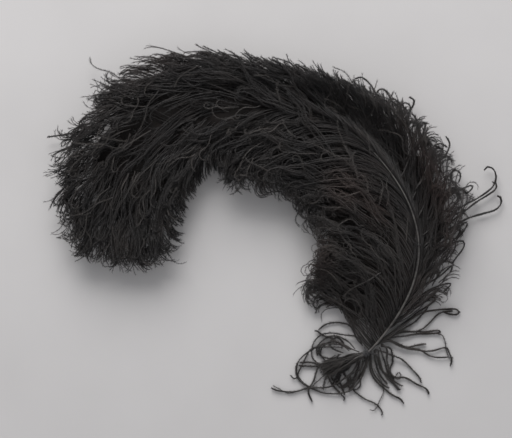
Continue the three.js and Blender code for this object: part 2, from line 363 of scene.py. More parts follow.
@dataclass(frozen=True)
class Barber:
    """Turns barbs into combed, clumped and curled centre lines.

    The crown is the stretch of the hook's outer edge where barbs have to lie flush.
    """

    spine: Spine
    loft: Loft
    outline: Outline
    body_points: int = 12
    curl_points: int = 9
    reach_out: float = 0.52
    reach_back: float = 0.28
    part_length: float = 24.0
    wave_turns: tuple[float, float] = (0.6, 1.9)
    second_wave: tuple[float, float] = (2.1, 0.45)
    root_wave: float = 0.2
    coil: float = 1.6
    crown: tuple[float, float] = (285.0, 440.0)
    crown_edge: float = 12.0
    steepest: float = -50.0

    def lies_flush(self, lines: Array, end_points: int) -> Array:
        """Which lines end along the crown of the hook, and don't stand off its outer edge.

        Args:
            lines: Centre lines, shape (lines, points, 3).
            end_points: How many points back from a tip its direction is taken.

        Returns:
            A mask of the lines to keep.
        """
        tip, before = lines[:, -1, :2], lines[:, -1 - end_points, :2]
        s, d = self.spine.locate(tip)
        move = tip - before
        turn = np.arctan2(move[:, 1], move[:, 0]) - self.spine.heading(s)
        lean = np.degrees(np.arctan2(np.sin(turn), np.cos(turn)))
        low, high = self.crown
        at_edge = (s > low) & (s < high) & (d < self.outline.reach(s)[0] + self.crown_edge)
        return ~at_edge | (lean > self.steepest)

    def lines(self, barbs: Barbs, firmness: Array, rng: np.random.Generator) -> Array:
        """Centre lines of barbs.

        Args:
            barbs: What to grow.
            firmness: How firmly each one clings to its neighbours.
            rng: The seeded source of chance.

        Returns:
            Points in millimetres, with shape (barbs, points, 3).
        """
        body = self._combed(barbs)
        body = drawn_together(body, barbs.clump, firmness, rng)
        body = self._wavy(body, barbs.wave, rng)
        body = self.outline.trimmed(body, self.spine, barbs.margin)
        ends = curled(body, barbs.curl, barbs.curl_length, self.curl_points)
        plan = np.concatenate([body, ends], axis=1)
        return self._lifted(plan, barbs, rng)

    def _combed(self, barbs: Barbs) -> Array:
        """Smooth sweeps from the shaft to the tips, in plan."""
        start = self.spine.place(barbs.root_s, barbs.root_d)
        end = self.spine.place(barbs.tip_s, barbs.tip_d)
        first = self.spine.heading(barbs.root_s) + np.radians(barbs.root_angle)
        last = self.spine.heading(np.maximum(barbs.tip_s, 0.0)) + np.radians(barbs.tip_angle)
        length = np.linalg.norm(end - start, axis=1)[:, None]
        out = start + self.reach_out * length * np.stack([np.cos(first), np.sin(first)], axis=1)
        back = end - self.reach_back * length * np.stack([np.cos(last), np.sin(last)], axis=1)
        t = np.linspace(0.0, 1.0, self.body_points)[None, :, None]
        return (
            (1 - t) ** 3 * start[:, None]
            + 3 * (1 - t) ** 2 * t * out[:, None]
            + 3 * (1 - t) * t**2 * back[:, None]
            + t**3 * end[:, None]
        )

    def _wavy(self, body: Array, wave: Array, rng: np.random.Generator) -> Array:
        """Sideways waves that grow towards the tips."""
        along = np.linspace(0.0, 1.0, self.body_points)[None, :]
        step = np.gradient(body, axis=1)
        step /= np.linalg.norm(step, axis=2, keepdims=True) + 1e-9
        normal = np.stack([-step[..., 1], step[..., 0]], axis=-1)
        phase = rng.uniform(0, 2 * math.pi, (len(body), 2, 1))
        faster, weaker = self.second_wave
        turns = rng.uniform(*self.wave_turns, (len(body), 2, 1)) * np.array([[[1.0], [faster]]])
        swing = np.sin(phase + 2 * math.pi * turns * along[:, None]) - np.sin(phase)
        swing = swing[:, 0] + weaker * swing[:, 1]
        growth = self.root_wave + (1.0 - self.root_wave) * along
        return body + normal * (wave[:, None] * swing * growth)[..., None]

    def _lifted(self, plan: Array, barbs: Barbs, rng: np.random.Generator) -> Array:
        """Heights: from the shaft out into the layer, with a little coil in the curls."""
        s, d = self.spine.locate(plan)
        steps = np.linalg.norm(np.diff(plan, axis=1), axis=2)
        run = np.concatenate([np.zeros((len(plan), 1)), np.cumsum(steps, axis=1)], axis=1)
        parted = smoothstep(run, 0.0, self.part_length)
        layer = self.loft.height(s, d, barbs.layer_share[:, None])
        end = (run / run[:, -1:]) ** 2
        coil = end * rng.normal(0.0, self.coil, (len(plan), 1)) + end * barbs.lift[:, None]
        height = barbs.root_z[:, None] * (1 - parted) + layer * parted + coil
        height = np.maximum(height, self.loft.floor_clearance)
        return np.concatenate([plan, height[..., None]], axis=2)


@dataclass
class BarbMesh:
    """Gathers barbs as closed tubes set with barbules, and writes them as one mesh.

    Lengths are millimetres and angles degrees, but for the tilt, which is in radians.
    """

    barbules: int = 110
    barbule_length: float = 3.9
    barbule_width: float = 0.44
    barbule_spread: float = 27.0
    barbule_span: tuple[float, float] = (0.03, 0.985)
    barbule_jitter: float = 0.006
    barbule_chance: tuple[float, float] = (0.5, 1.25)
    spread_chance: float = 8.0
    tilt_chance: float = 0.8
    lowest: float = 0.2
    tip_share: float = 0.35
    taper: float = 1.2
    twist: float = 2.0
    uv_length: float = 1.04
    _points: list[Array] = field(default_factory=list)
    _uvs: list[Array] = field(default_factory=list)
    _fades: list[Array] = field(default_factory=list)
    _faces: list[tuple[Array, Array]] = field(default_factory=list)
    _size: int = 0
    _columns: int = 0

    def _add(self, points: Array, uvs: Array, fades: Array, quads: Array, tris: Array) -> None:
        """Adds vertices and the faces that join them."""
        self._points.append(points)
        self._uvs.append(uvs)
        self._fades.append(fades)
        self._faces.append((quads + self._size, tris + self._size))
        self._size += len(points)

    def grow(self, lines: Array, width: Array, fade: Array, rng: np.random.Generator) -> None:
        """Adds a tube and barbules along each centre line.

        Args:
            lines: Centre lines, shape (barbs, points, 3), in millimetres.
            width: Each barb's width at its root, in millimetres.
            fade: How far each point's dye has turned brown, and how far it is dusty or painted
                pale as a highlight, shape (barbs, points, 2).
            rng: The seeded source of chance.
        """
        tangent = np.gradient(lines, axis=1)
        tangent /= np.linalg.norm(tangent, axis=2, keepdims=True) + 1e-9
        side = np.cross(tangent, np.array([0.0, 0.0, 1.0]))
        side /= np.linalg.norm(side, axis=2, keepdims=True) + 1e-6
        up = np.cross(side, tangent)
        self._tubes(lines, side, up, width, fade, rng)
        if self.barbules:
            self._flue(lines, tangent, side, up, fade, rng)
        self._columns += len(lines)

    def _tubes(
        self, lines: Array, side: Array, up: Array, width: Array, fade: Array,
        rng: np.random.Generator,
    ) -> None:
        """Three-sided tapering tubes with closed ends."""
        count, steps = lines.shape[:2]
        along = np.linspace(0.0, 1.0, steps)
        slimming = 1.0 - (1.0 - self.tip_share) * along**self.taper
        radius = (width[:, None] / 2 * slimming)[..., None, None]
        turn = rng.uniform(0, 2 * math.pi, (count, 1, 1)) + np.arange(3) * (2 * math.pi / 3)
        turn = turn + along[None, :, None] * self.twist
        ring = lines[:, :, None] + radius * (
            np.cos(turn)[..., None] * side[:, :, None] + np.sin(turn)[..., None] * up[:, :, None]
        )
        column = (np.arange(count) + self._columns)[:, None, None]
        across = column + np.array([0.2, 0.5, 0.8])[None, None, :]
        uvs = np.stack(np.broadcast_arrays(across, along[None, :, None]), axis=-1)
        fades = np.broadcast_to(fade[:, :, None], (count, steps, 3, 2))
        base = (np.arange(count) * steps * 3)[:, None, None] + np.arange(steps - 1)[:, None] * 3
        a = np.arange(3)
        b = (a + 1) % 3
        quads = np.stack([base + a, base + a + 3, base + b + 3, base + b], axis=-1).reshape(-1, 4)
        first = (np.arange(count) * steps * 3)[:, None]
        last = first + (steps - 1) * 3
        tris = np.concatenate([first + a, last + a[::-1]])
        self._add(ring.reshape(-1, 3), uvs.reshape(-1, 2), fades.reshape(-1, 2), quads, tris)

    def _flue(
        self, lines: Array, tangent: Array, side: Array, up: Array, fade: Array,
        rng: np.random.Generator,
    ) -> None:
        """Barbules: slender closed spikes that leave the barb on both sides."""
        count, steps = lines.shape[:2]
        shape = (count, self.barbules)
        at = np.linspace(*self.barbule_span, self.barbules) + rng.normal(0, self.barbule_jitter, shape)
        at = np.clip(at, 0.0, 0.999) * (steps - 1)
        cell = at.astype(int)
        part = (at - cell)[..., None]
        row = np.arange(count)[:, None]

        def blend(values: Array) -> Array:
            """Values part of the way along a barb's steps."""
            return values[row, cell] * (1 - part) + values[row, cell + 1] * part

        point, forward, sideways, upward = blend(lines), blend(tangent), blend(side), blend(up)
        along = at / (steps - 1)
        hand = np.where(np.arange(self.barbules) % 2 == 0, 1.0, -1.0)[None, :]
        spread = np.radians(rng.normal(self.barbule_spread, self.spread_chance, shape)) * hand
        tilt = rng.normal(0.0, self.tilt_chance, shape)
        out = np.cos(tilt)[..., None] * sideways + np.sin(tilt)[..., None] * upward
        aim = np.cos(spread)[..., None] * forward + np.sin(spread)[..., None] * out
        length = self.barbule_length * rng.uniform(*self.barbule_chance, shape)
        length *= np.minimum(1.0, 0.35 + 3.0 * along) * (1.0 - 0.3 * along**3)
        tip = point + aim * length[..., None]
        tip[..., 2] = np.maximum(tip[..., 2], self.lowest)
        flat = np.cross(aim, upward)
        flat /= np.linalg.norm(flat, axis=2, keepdims=True) + 1e-6
        lift = np.cross(flat, aim)
        half = self.barbule_width / 2
        base = [
            point + half * (math.cos(angle) * flat + math.sin(angle) * lift)
            for angle in (0.0, 2 * math.pi / 3, 4 * math.pi / 3)
        ]
        points = np.stack([*base, tip], axis=2).reshape(-1, 3)
        column = (np.arange(count) + self._columns)[:, None, None]
        across = column + np.array([0.3, 0.5, 0.7, 0.5])
        runs = along[..., None] + np.array([0.0, 0.0, 0.0, 0.03])
        uvs = np.stack(np.broadcast_arrays(across, runs), axis=-1).reshape(-1, 2)
        fades = np.repeat(blend(fade)[:, :, None], 4, axis=2).reshape(-1, 2)
        first = np.arange(count * self.barbules)[:, None, None] * 4
        corners = np.array([[2, 1, 0], [0, 1, 3], [1, 2, 3], [2, 0, 3]])
        tris = (first + corners).reshape(-1, 3)
        self._add(points, uvs, fades, np.zeros((0, 4), int), tris)

    def build(self, name: str) -> bpy.types.Object:
        """Writes everything gathered as one mesh object at the origin."""
        points = np.concatenate(self._points) * MM
        quads = np.concatenate([faces[0] for faces in self._faces])
        tris = np.concatenate([faces[1] for faces in self._faces])
        corners = np.concatenate([quads.ravel(), tris.ravel()]).astype(np.int32)
        sizes = np.concatenate([np.full(len(quads), 4), np.full(len(tris), 3)])
        starts = np.concatenate([[0], np.cumsum(sizes)[:-1]]).astype(np.int32)
        mesh = bpy.data.meshes.new(name)
        mesh.vertices.add(len(points))
        mesh.vertices.foreach_set("co", points.astype(np.float32).ravel())
        mesh.loops.add(len(corners))
        mesh.loops.foreach_set("vertex_index", corners)
        mesh.polygons.add(len(sizes))
        mesh.polygons.foreach_set("loop_start", starts)
        mesh.polygons.foreach_set("use_smooth", np.ones(len(sizes), dtype=bool))
        uvs = np.concatenate(self._uvs)
        uvs = uvs / np.array([max(self._columns, 1), self.uv_length])
        corner_uvs = uvs[corners].astype(np.float32).ravel()
        for layer in ("barb_uv", "OFBake"):
            mesh.uv_layers.new(name=layer).data.foreach_set("uv", corner_uvs)
        fades = np.concatenate(self._fades)
        # the second fade holds dust and the strays' painted highlight
        for index, fade_name in enumerate(("fade_brown", "fade_dust")):
            attribute = mesh.attributes.new(fade_name, "FLOAT", "POINT")
            attribute.data.foreach_set("value", fades[:, index].astype(np.float32))
        mesh.update()
        mesh.validate()
        piece = bpy.data.objects.new(name, mesh)
        bpy.context.scene.collection.objects.link(piece)
        return piece


# ---- Dye that has turned ----


@dataclass(frozen=True)
class FadePatch:
    """A place where the dye has turned, in plume coordinates."""

    s: float
    d: float
    along: float
    across: float
    strength: float


BROWN_PATCHES = (
    FadePatch(208, 46, 32, 18, 0.95),
    FadePatch(160, 30, 20, 12, 0.6),
    FadePatch(165, -36, 45, 10, 0.8),
    FadePatch(85, 94, 60, 18, 0.75),
    FadePatch(60, -40, 40, 22, 0.4),
    FadePatch(395, -75, 45, 14, 0.35),
)
DUST_PATCHES = (
    FadePatch(105, 22, 45, 16, 0.45),
    FadePatch(70, 50, 40, 22, 0.35),
    FadePatch(208, 46, 30, 20, 0.25),
    FadePatch(125, 88, 65, 18, 0.45),
    FadePatch(-10, -35, 60, 50, 0.5),
    FadePatch(-35, 30, 50, 30, 0.3),
)


def fade_at(s: Array, d: Array, patches: tuple[FadePatch, ...]) -> Array:
    """How far the dye has turned at plume coordinates, from 0 to 1."""
    total = np.zeros_like(s)
    for patch in patches:
        away = ((s - patch.s) / patch.along) ** 2 + ((d - patch.d) / patch.across) ** 2
        total = total + patch.strength * np.exp(-away)
    return np.clip(total, 0.0, 1.0)


# ---- Finishes ----


def add_node(
    tree: bpy.types.NodeTree, kind: str, links: dict | None = None, **settings: object
) -> bpy.types.Node:
    """Adds a shader node.

    Args:
        tree: The material's node tree.
        kind: The node's type.
        links: Input name or number to the socket that feeds it, or to a value.
        settings: The node's own properties.

    Returns:
        The node.
    """
    node = tree.nodes.new(kind)
    for name, value in settings.items():
        setattr(node, name, value)
    for name, source in (links or {}).items():
        if isinstance(source, bpy.types.NodeSocket):
            tree.links.new(source, node.inputs[name])
        else:
            node.inputs[name].default_value = source
    return node


def new_material(name: str) -> tuple[bpy.types.Material, bpy.types.NodeTree, bpy.types.Node]:
    """A new node material, its tree and its shader."""
    material = bpy.data.materials.new(name)
    material.use_nodes = True
    return material, material.node_tree, material.node_tree.nodes["Principled BSDF"]


def noise(
    tree: bpy.types.NodeTree, place: bpy.types.NodeSocket, scale: float, detail: float
) -> bpy.types.NodeSocket:
    """Noise over a place, as a factor."""
    links = {"Vector": place, "Scale": scale, "Detail": detail}
    return add_node(tree, "ShaderNodeTexNoise", links).outputs["Fac"]


def maths(
    tree: bpy.types.NodeTree, operation: str, first: object, second: object
) -> bpy.types.NodeSocket:
    """The result of a sum or product of two sockets or values."""
    return add_node(tree, "ShaderNodeMath", {0: first, 1: second}, operation=operation).outputs[0]


def between(
    tree: bpy.types.NodeTree, factor: bpy.types.NodeSocket, limits: tuple[float, float]
) -> bpy.types.NodeSocket:
    """A value that a factor moves from one limit to the other."""
    links = {"Value": factor, "To Min": limits[0], "To Max": limits[1]}
    return add_node(tree, "ShaderNodeMapRange", links).outputs[0]


def ramp(
    tree: bpy.types.NodeTree, factor: bpy.types.NodeSocket, stops: dict[float, str]
) -> bpy.types.NodeSocket:
    """A colour ramp through sRGB hex stops."""
    node = add_node(tree, "ShaderNodeValToRGB", {"Fac": factor})
    elements = node.color_ramp.elements
    while len(elements) < len(stops):
        elements.new(0.5)
    for element, (position, colour) in zip(elements, stops.items()):
        element.position = position
        element.color = linear(colour)
    return node.outputs["Color"]


@dataclass(frozen=True)
class BarbFinish:
    """Dyed ostrich barb: keratin under black dye, which shines softly along the strand.

    The dye takes unevenly from barb to barb and turns brown where light has reached it.
    The dust colour also paints the stray strands paler, a painted highlight.
    """

    name: str
    dark: str = "#130f0f"
    body: str = "#1d1817"
    light: str = "#2b2421"
    brown: str = "#452f27"
    dust: str = "#544e49"
    roughness: tuple[float, float] = (0.5, 0.72)
    sheen: float = 0.08

    def material(self) -> bpy.types.Material:
        """Builds the shader."""
        material, tree, shader = new_material(self.name)
        uv = add_node(tree, "ShaderNodeUVMap", uv_map="barb_uv").outputs["UV"]
        strand = add_node(tree, "ShaderNodeMapping", {"Vector": uv, "Scale": (900.0, 2.5, 1.0)})
        per_barb = noise(tree, strand.outputs[0], 1.0, 1.0)
        place = add_node(tree, "ShaderNodeTexCoord").outputs["Object"]
        mixed = maths(tree, "ADD", per_barb, noise(tree, place, 1 / (28 * MM), 3.0))
        halved = maths(tree, "MULTIPLY", mixed, 0.5)
        dye = ramp(tree, halved, {0.34: self.dark, 0.5: self.body, 0.66: self.light})
        # the dust colour is also the strays' painted highlight
        for fade_name, colour in (("fade_brown", self.brown), ("fade_dust", self.dust)):
            fade = add_node(tree, "ShaderNodeAttribute", attribute_name=fade_name).outputs["Fac"]
            uneven = maths(tree, "MULTIPLY", fade, per_barb)
            dye = add_node(
                tree, "ShaderNodeMixRGB", {"Fac": uneven, "Color1": dye, "Color2": linear(colour)}
            ).outputs[0]
        tree.links.new(dye, shader.inputs["Base Color"])
        tree.links.new(between(tree, per_barb, self.roughness), shader.inputs["Roughness"])
        groove = noise(tree, place, 1 / (0.6 * MM), 2.0)
        bump = add_node(
            tree, "ShaderNodeBump", {"Height": groove, "Strength": 0.3, "Distance": 0.1 * MM}
        )
        tree.links.new(bump.outputs[0], shader.inputs["Normal"])
        shader.inputs["Sheen Weight"].default_value = self.sheen
        shader.inputs["Sheen Roughness"].default_value = 0.4
        shader.inputs["IOR"].default_value = 1.55
        return material


@dataclass(frozen=True)
class RodFinish:
    """A stringy or horny rod: dyed shaft, covered wire or thread, streaked lengthwise.

    The shaft is bare keratin that the dye only stains, so it is paler and glossier than
    the barbs; thread and wire covering are dull cotton.
    """

    name: str
    dark: str
    light: str
    grain: float
    roughness: tuple[float, float]
    bump: float
    sheen: float = 0.0

    def material(self) -> bpy.types.Material:
        """Builds the shader."""
        material, tree, shader = new_material(self.name)
        place = add_node(tree, "ShaderNodeTexCoord").outputs["Object"]
        fine = noise(tree, place, 1 / (self.grain * MM), 4.0)
        both = maths(tree, "ADD", fine, noise(tree, place, 1 / (14 * MM), 2.0))
        half = maths(tree, "MULTIPLY", both, 0.5)
        colour = ramp(tree, half, {0.36: self.dark, 0.64: self.light})
        tree.links.new(colour, shader.inputs["Base Color"])
        tree.links.new(between(tree, fine, self.roughness), shader.inputs["Roughness"])
        bump = add_node(
            tree, "ShaderNodeBump", {"Height": fine, "Strength": self.bump, "Distance": 0.15 * MM}
        )
        tree.links.new(bump.outputs[0], shader.inputs["Normal"])
        shader.inputs["Sheen Weight"].default_value = self.sheen
        return material


def dress(piece: bpy.types.Object, material: bpy.types.Material, slot: str, *nodes: str) -> None:
    """Gives a piece its material and its body, and hides the nodes that it stands for."""
    piece.data.materials.clear()
    piece.data.materials.append(material)
    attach(piece, BODY)
    if nodes:
        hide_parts(*nodes)
    triangles = sum(len(face.vertices) - 2 for face in piece.data.polygons)
    log.info("%s: %d triangles", piece.name, triangles)


# ---- Rods, threads and wire ----


def strand_object(name: str, routes: list[tuple[Array, Array]], sides: int) -> bpy.types.Object:
    """Round strands with closed ends, as one mesh.

    Args:
        name: The piece's name.
        routes: For each strand its points and its radii, in millimetres.
        sides: Faces round each strand.

    Returns:
        The mesh object, at the origin.
    """
    bpy.ops.object.select_all(action="DESELECT")
    bpy.ops.curve.primitive_nurbs_path_add(location=(0, 0, 0))
    piece = bpy.context.object
    piece.name = name
    curve = piece.data
    curve.splines.clear()
    for points, radii in routes:
        spline = curve.splines.new("POLY")
        spline.points.add(len(points) - 1)
        homogeneous = np.concatenate([points * MM, np.ones((len(points), 1))], axis=1)
        spline.points.foreach_set("co", homogeneous.ravel())
        spline.points.foreach_set("radius", radii)
        spline.use_smooth = True
    curve.dimensions = "3D"
    curve.twist_mode = "Z_UP"
    curve.bevel_depth = MM
    curve.bevel_resolution = max(sides // 2 - 2, 0)
    curve.use_fill_caps = True
    bpy.ops.object.convert(target="MESH")
    piece = bpy.context.object
    bpy.ops.object.mode_set(mode="EDIT")
    bpy.ops.mesh.select_all(action="SELECT")
    bpy.ops.mesh.remove_doubles(threshold=1e-6)
    bpy.ops.mesh.normals_make_consistent(inside=False)
    bpy.ops.object.mode_set(mode="OBJECT")
    bpy.ops.object.shade_smooth_by_angle(angle=math.radians(50))
    piece.select_set(False)
    return piece


@dataclass(frozen=True)
class Shafts:
    """The three shafts, slimmer than their solids, and the wire that runs under them."""

    spine: Spine
    loft: Loft
    width: float = 3.0
    tip: float = 0.8
    runs: tuple[float, float, float] = (440.0, 510.0, 340.0)
    names: tuple[str, str, str] = ("under_shaft", "middle_shaft", "face_shaft")
    wire_diameter: float = 1.2
    wire_run: float = 300.0
    wire_start: float = -48.0
    stem_start: float = -54.0
    step: float = 4.0
    slimness: float = 0.82
    shaft_sides: int = 14
    wire_sides: int = 10
    wire_points: int = 700
    ripple: tuple[float, float] = (0.06, 1.6)

    def _stations(self, start: float, end: float) -> Array:
        """Runs along the spine, about a step apart."""
        return np.linspace(start, end, int((end - start) / self.step) + 1)

    def shaft(self, layer: int) -> bpy.types.Object:
        """One shaft, full along the stem and drawn out to a hair at its end."""
        s = self._stations(self.stem_start, self.runs[layer])
        share = np.clip(s / self.runs[layer], 0.0, 1.0)
        plan = self.spine.place(s, self.spine.bow_at(s))
        points = np.column_stack([plan, self.loft.shaft_height(layer, s)])
        radii = (self.width + (self.tip - self.width) * share) / 2 * self.slimness
        return strand_object("dressed_" + self.names[layer], [(points, radii)], self.shaft_sides)

    def wire(self) -> bpy.types.Object:
        """The covered wire, with the spiral of its cotton covering."""
        s = np.linspace(self.wire_start, self.wire_run, self.wire_points)
        below = 2.5 * self.loft.pitch(s) - self.loft.pitch(s)
        height = self.loft.thickness(s) / 2 - below - self.loft.gap - self.wire_diameter / 2
        points = np.column_stack([self.spine.place(s, self.spine.bow_at(s)), height])
        depth, turn = self.ripple
        rippled = 1.0 + depth * np.sin(np.arange(len(s)) * turn)
        routes = [(points, self.wire_diameter / 2 * rippled)]
        return strand_object("dressed_wire", routes, self.wire_sides)

    def build(self, shaft_finish: bpy.types.Material, wire_finish: bpy.types.Material) -> None:
        """Builds and dresses all four."""
        for layer, name in enumerate(self.names):
            dress(self.shaft(layer), shaft_finish, "shaft_keratin", name)
        dress(self.wire(), wire_finish, "covered_wire", "support_wire")


@dataclass(frozen=True)
class Threadwork:
    """The whipping at the knot and the stitches that tie the shafts together."""

    spine: Spine
    loft: Loft
    shafts: Shafts
    thread: float = 1.0
    clearance: float = 0.4
    whipping: tuple[float, float] = (-10.0, -3.0)
    ties: tuple[float, float, float] = (115.0, 230.0, 345.0)
    squareness: float = 0.75
    turn_points: int = 28
    whipping_turns: float = 7.0
    crossing_turns: float = -1.5
    tie_turns: float = 2.0
    whipping_fineness: float = 0.96
    tie_fineness: float = 0.45
    end_fineness: float = 0.4
    tail_points: int = 12
    tail_lean: float = 0.6
    tail_bow: tuple[float, float, float] = (0.9, 1.2, 2.6)
    sides: int = 8

    def _wound(self, start: float, end: float, turns: float, out: float) -> Array:
        """A thread wound round the stacked shafts, from one run to another."""
        share = np.linspace(0.0, 1.0, int(abs(turns) * self.turn_points) + 1)
        angle = share * turns * 2 * math.pi
        s = start + (end - start) * share
        taper = np.clip(s / self.loft.longest, 0.0, 1.0)
        width = self.shafts.width + (self.shafts.tip - self.shafts.width) * taper
        top = 1.5 * self.loft.pitch(s)
        below = top + self.shafts.wire_diameter + self.loft.gap
        half_width = width / 2 + self.clearance + out
        half_height = (top + below) / 2 + self.clearance + out
        across = np.sign(np.sin(angle)) * np.abs(np.sin(angle)) ** self.squareness
        rise = np.sign(np.cos(angle)) * np.abs(np.cos(angle)) ** self.squareness
        plan = self.spine.place(s, self.spine.bow_at(s) + across * half_width)
        middle = self.loft.thickness(s) / 2 + (top - below) / 2
        return np.column_stack([plan, np.maximum(middle + rise * half_height, self.thread / 2)])

    def _tail(self, s: float, length: float, turn: float) -> Array:
        """A cut thread end that lies over the shafts and out to one side."""
        t = np.linspace(0.0, 1.0, self.tail_points)
        top = self.loft.thickness(np.array([s]))[0] / 2 + 1.5 * self.loft.pitch(np.array([s]))[0]
        d = self.spine.bow_at(np.array([s]))[0] + turn * length * (t**1.2)
        plan = self.spine.place(s + length * self.tail_lean * t, d)
        base, rise, turned = self.tail_bow
        return np.column_stack([plan, top + self.thread * (base + rise * np.sin(turned * t))])

    def build(self, finish: bpy.types.Material) -> None:
        """Builds and dresses the whipping and the ties."""
        half = self.thread / 2
        start, end = self.whipping
        wound = self._wound(start + half, end - half, self.whipping_turns, half)
        over = self._wound(start + 1.5, end - 2.0, self.crossing_turns, self.thread * 1.3)
        tails = [self._tail(end - 1.5, 9.0, -1.0), self._tail(start + 2.0, 7.0, 1.0)]
        radius = half * self.whipping_fineness
        routes = [(route, np.full(len(route), radius)) for route in (wound, over, *tails)]
        whipping = strand_object("wound_whipping", routes, self.sides)
        dress(whipping, finish, "sewing_thread", "knot_whipping")
        for number, tie in enumerate(self.ties, start=1):
            loop = self._wound(tie - half, tie + half, self.tie_turns, half)
            ends = [self._tail(tie, 6.0, 1.0), self._tail(tie, 5.0, -1.0)]
            routes = [(loop, np.full(len(loop), half * self.tie_fineness))]
            routes += [(route, np.full(len(route), half * self.end_fineness)) for route in ends]
            stitched = strand_object(f"stitched_tie_{number}", routes, self.sides)
            dress(stitched, finish, "sewing_thread", f"thread_tie_{number}")


# ---- Feathers ----


@dataclass(frozen=True)
class TipRow:
    """Where the longest barb rooted at a run of the shaft ends, and how it ends."""

    root: float
    tip_s: float
    tip_d: float
    angle: float
    curl: float
    curl_length: float


@dataclass(frozen=True)
class Vane:
    """One side of a feather."""

    side: Side
    rows: tuple[TipRow, ...]
    root_angles: tuple[tuple[float, float], ...]
    shortest: float = 0.6
    curl_spread: float = 0.35
    inner_firmness: float = 0.7
    outer_firmness: float = 0.88

    @property
    def firmness(self) -> float:
        """How firmly its barbs cling together in ropes."""
        return self.inner_firmness if self.side is Side.INNER else self.outer_firmness

    def column(self, field_name: str, roots: Array) -> Array:
        """A row value at any root, between the rows."""
        known = [row.root for row in self.rows]
        return np.interp(roots, known, [getattr(row, field_name) for row in self.rows])

    def root_angle(self, roots: Array) -> Array:
        """The angle at which barbs leave the shaft."""
        return np.interp(roots, *zip(*self.root_angles))


def clumps_of(count: int, smallest: int, largest: int, rng: np.random.Generator) -> Array:
    """Numbers neighbours off into clumps of chance sizes."""
    sizes = rng.integers(smallest, largest + 1, count)
    return np.repeat(np.arange(count), sizes)[:count]


@dataclass(frozen=True)
class Feather:
    """One of the plume's three feathers.

    The spreads are those of the tips' run, distance and angle, and of the margin.
    """

    name: str
    layer: int
    run: float
    vanes: tuple[Vane, ...]
    stretches: tuple[tuple[str, float, float], ...]
    layer_range: tuple[float, float]
    pitch: float = 1.7
    width: float = 0.95
    wave: float = 1.6
    root_start: float = -2.0
    shaft: tuple[float, float] = (3.0, 0.8)
    seated: float = 0.8
    longest: float = 1.03
    spreads: tuple[float, float, float, float] = (22.0, 7.0, 50.0, 9.0)
    curl_lengths: tuple[float, float] = (0.65, 0.7)
    curl_setback: float = 0.34
    thinnest: float = 0.12
    sparse: tuple[float, float] = (8.0, 85.0)
    loosening: float = 0.25
    loosening_run: tuple[float, float] = (120.0, 190.0)
    clump: tuple[int, int] = (2, 6)
    barbules: int = 115

    def barbs(self, vane: Vane, spine: Spine, loft: Loft, rng: np.random.Generator) -> Barbs:
        """All barbs of one vane."""
        count = int((self.run - self.root_start) / self.pitch)
        roots = np.linspace(self.root_start, self.run, count) + rng.normal(0, 0.3, count)
        roots = np.clip(roots, self.root_start, self.run)
        clump = clumps_of(count, *self.clump, rng)

        def shared(own: float) -> Array:
            """Chance from 0 to 1, partly the clump's and partly each barb's own."""
            return (1 - own) * rng.uniform(0, 1, count)[clump] + own * rng.uniform(0, 1, count)

        reach = vane.shortest + (self.longest - vane.shortest) * shared(0.4) ** 0.5
        sign = vane.side.sign
        share = np.clip(roots / self.run, 0.0, 1.0)
        wide, thin = self.shaft
        seat = (wide + (thin - wide) * share) / 2 * self.seated
        run_spread, reach_spread, angle_spread, margin_spread = self.spreads
        least, extra = self.curl_lengths
        curl = vane.column("curl", roots) * (1 + vane.curl_spread * (3 * shared(0.15) - 1.5))
        low, high = self.layer_range
        ahead = (vane.column("tip_s", roots) - roots) * reach
        return Barbs(
            root_s=roots,
            root_d=spine.bow_at(roots) + sign * seat,
            tip_s=roots + ahead + run_spread * (shared(0.3) - 0.5),
            tip_d=vane.column("tip_d", roots) * reach + reach_spread * (shared(0.3) - 0.5),
            root_angle=sign * vane.root_angle(roots) + rng.normal(0, 3.0, count),
            tip_angle=vane.column("angle", roots) + angle_spread * (shared(0.2) - 0.5),
            curl=curl * (0.75 + 0.25 * reach**2),
            curl_length=vane.column("curl_length", roots) * (least + extra * shared(0.2)),
            root_z=loft.shaft_height(self.layer, roots),
            layer_share=low + (high - low) * shared(0.35),
            width=self.width * rng.uniform(0.75, 1.2, count),
            wave=self.wave * rng.uniform(0.4, 1.4, count),
            lift=rng.normal(0.0, 1.5, count),
            clump=clump,
            margin=margin_spread * (shared(0.3) - 0.5)
            - self.curl_setback * vane.column("curl_length", roots),
        )

    def build(
        self, barber: Barber, finishes: dict[str, bpy.types.Material], rng: np.random.Generator
    ) -> None:
        """Builds and dresses every stretch of both vanes."""
        for vane in self.vanes:
            barbs = self.barbs(vane, barber.spine, barber.loft, rng)
            if vane.side is Side.OUTER:
                growth = smoothstep(barbs.root_s, *self.sparse)
                fullness = self.thinnest + (1.0 - self.thinnest) * growth
                barbs = barbs.chosen(rng.uniform(0, 1, len(barbs.clump))[barbs.clump] < fullness)
            looser = self.loosening * smoothstep(barbs.root_s, *self.loosening_run)
            firmness = vane.firmness - looser
            lines = barber.lines(barbs, firmness, rng)
            flush = barber.lies_flush(lines, barber.curl_points)
            for stretch, start, end in self.stretches:
                keep = (barbs.root_s >= start) & (barbs.root_s < end) & flush
                node = f"{self.name}_{vane.side.value}_vane_{stretch}"
                slot = "vane_brown_black" if stretch == "lower" else "vane_black"
                mesh = BarbMesh(barbules=self.barbules)
                grow_on(mesh, lines[keep], barbs.width[keep], barber.spine, rng)
                dress(mesh.build(node + "_barbs"), finishes[slot], slot, node)


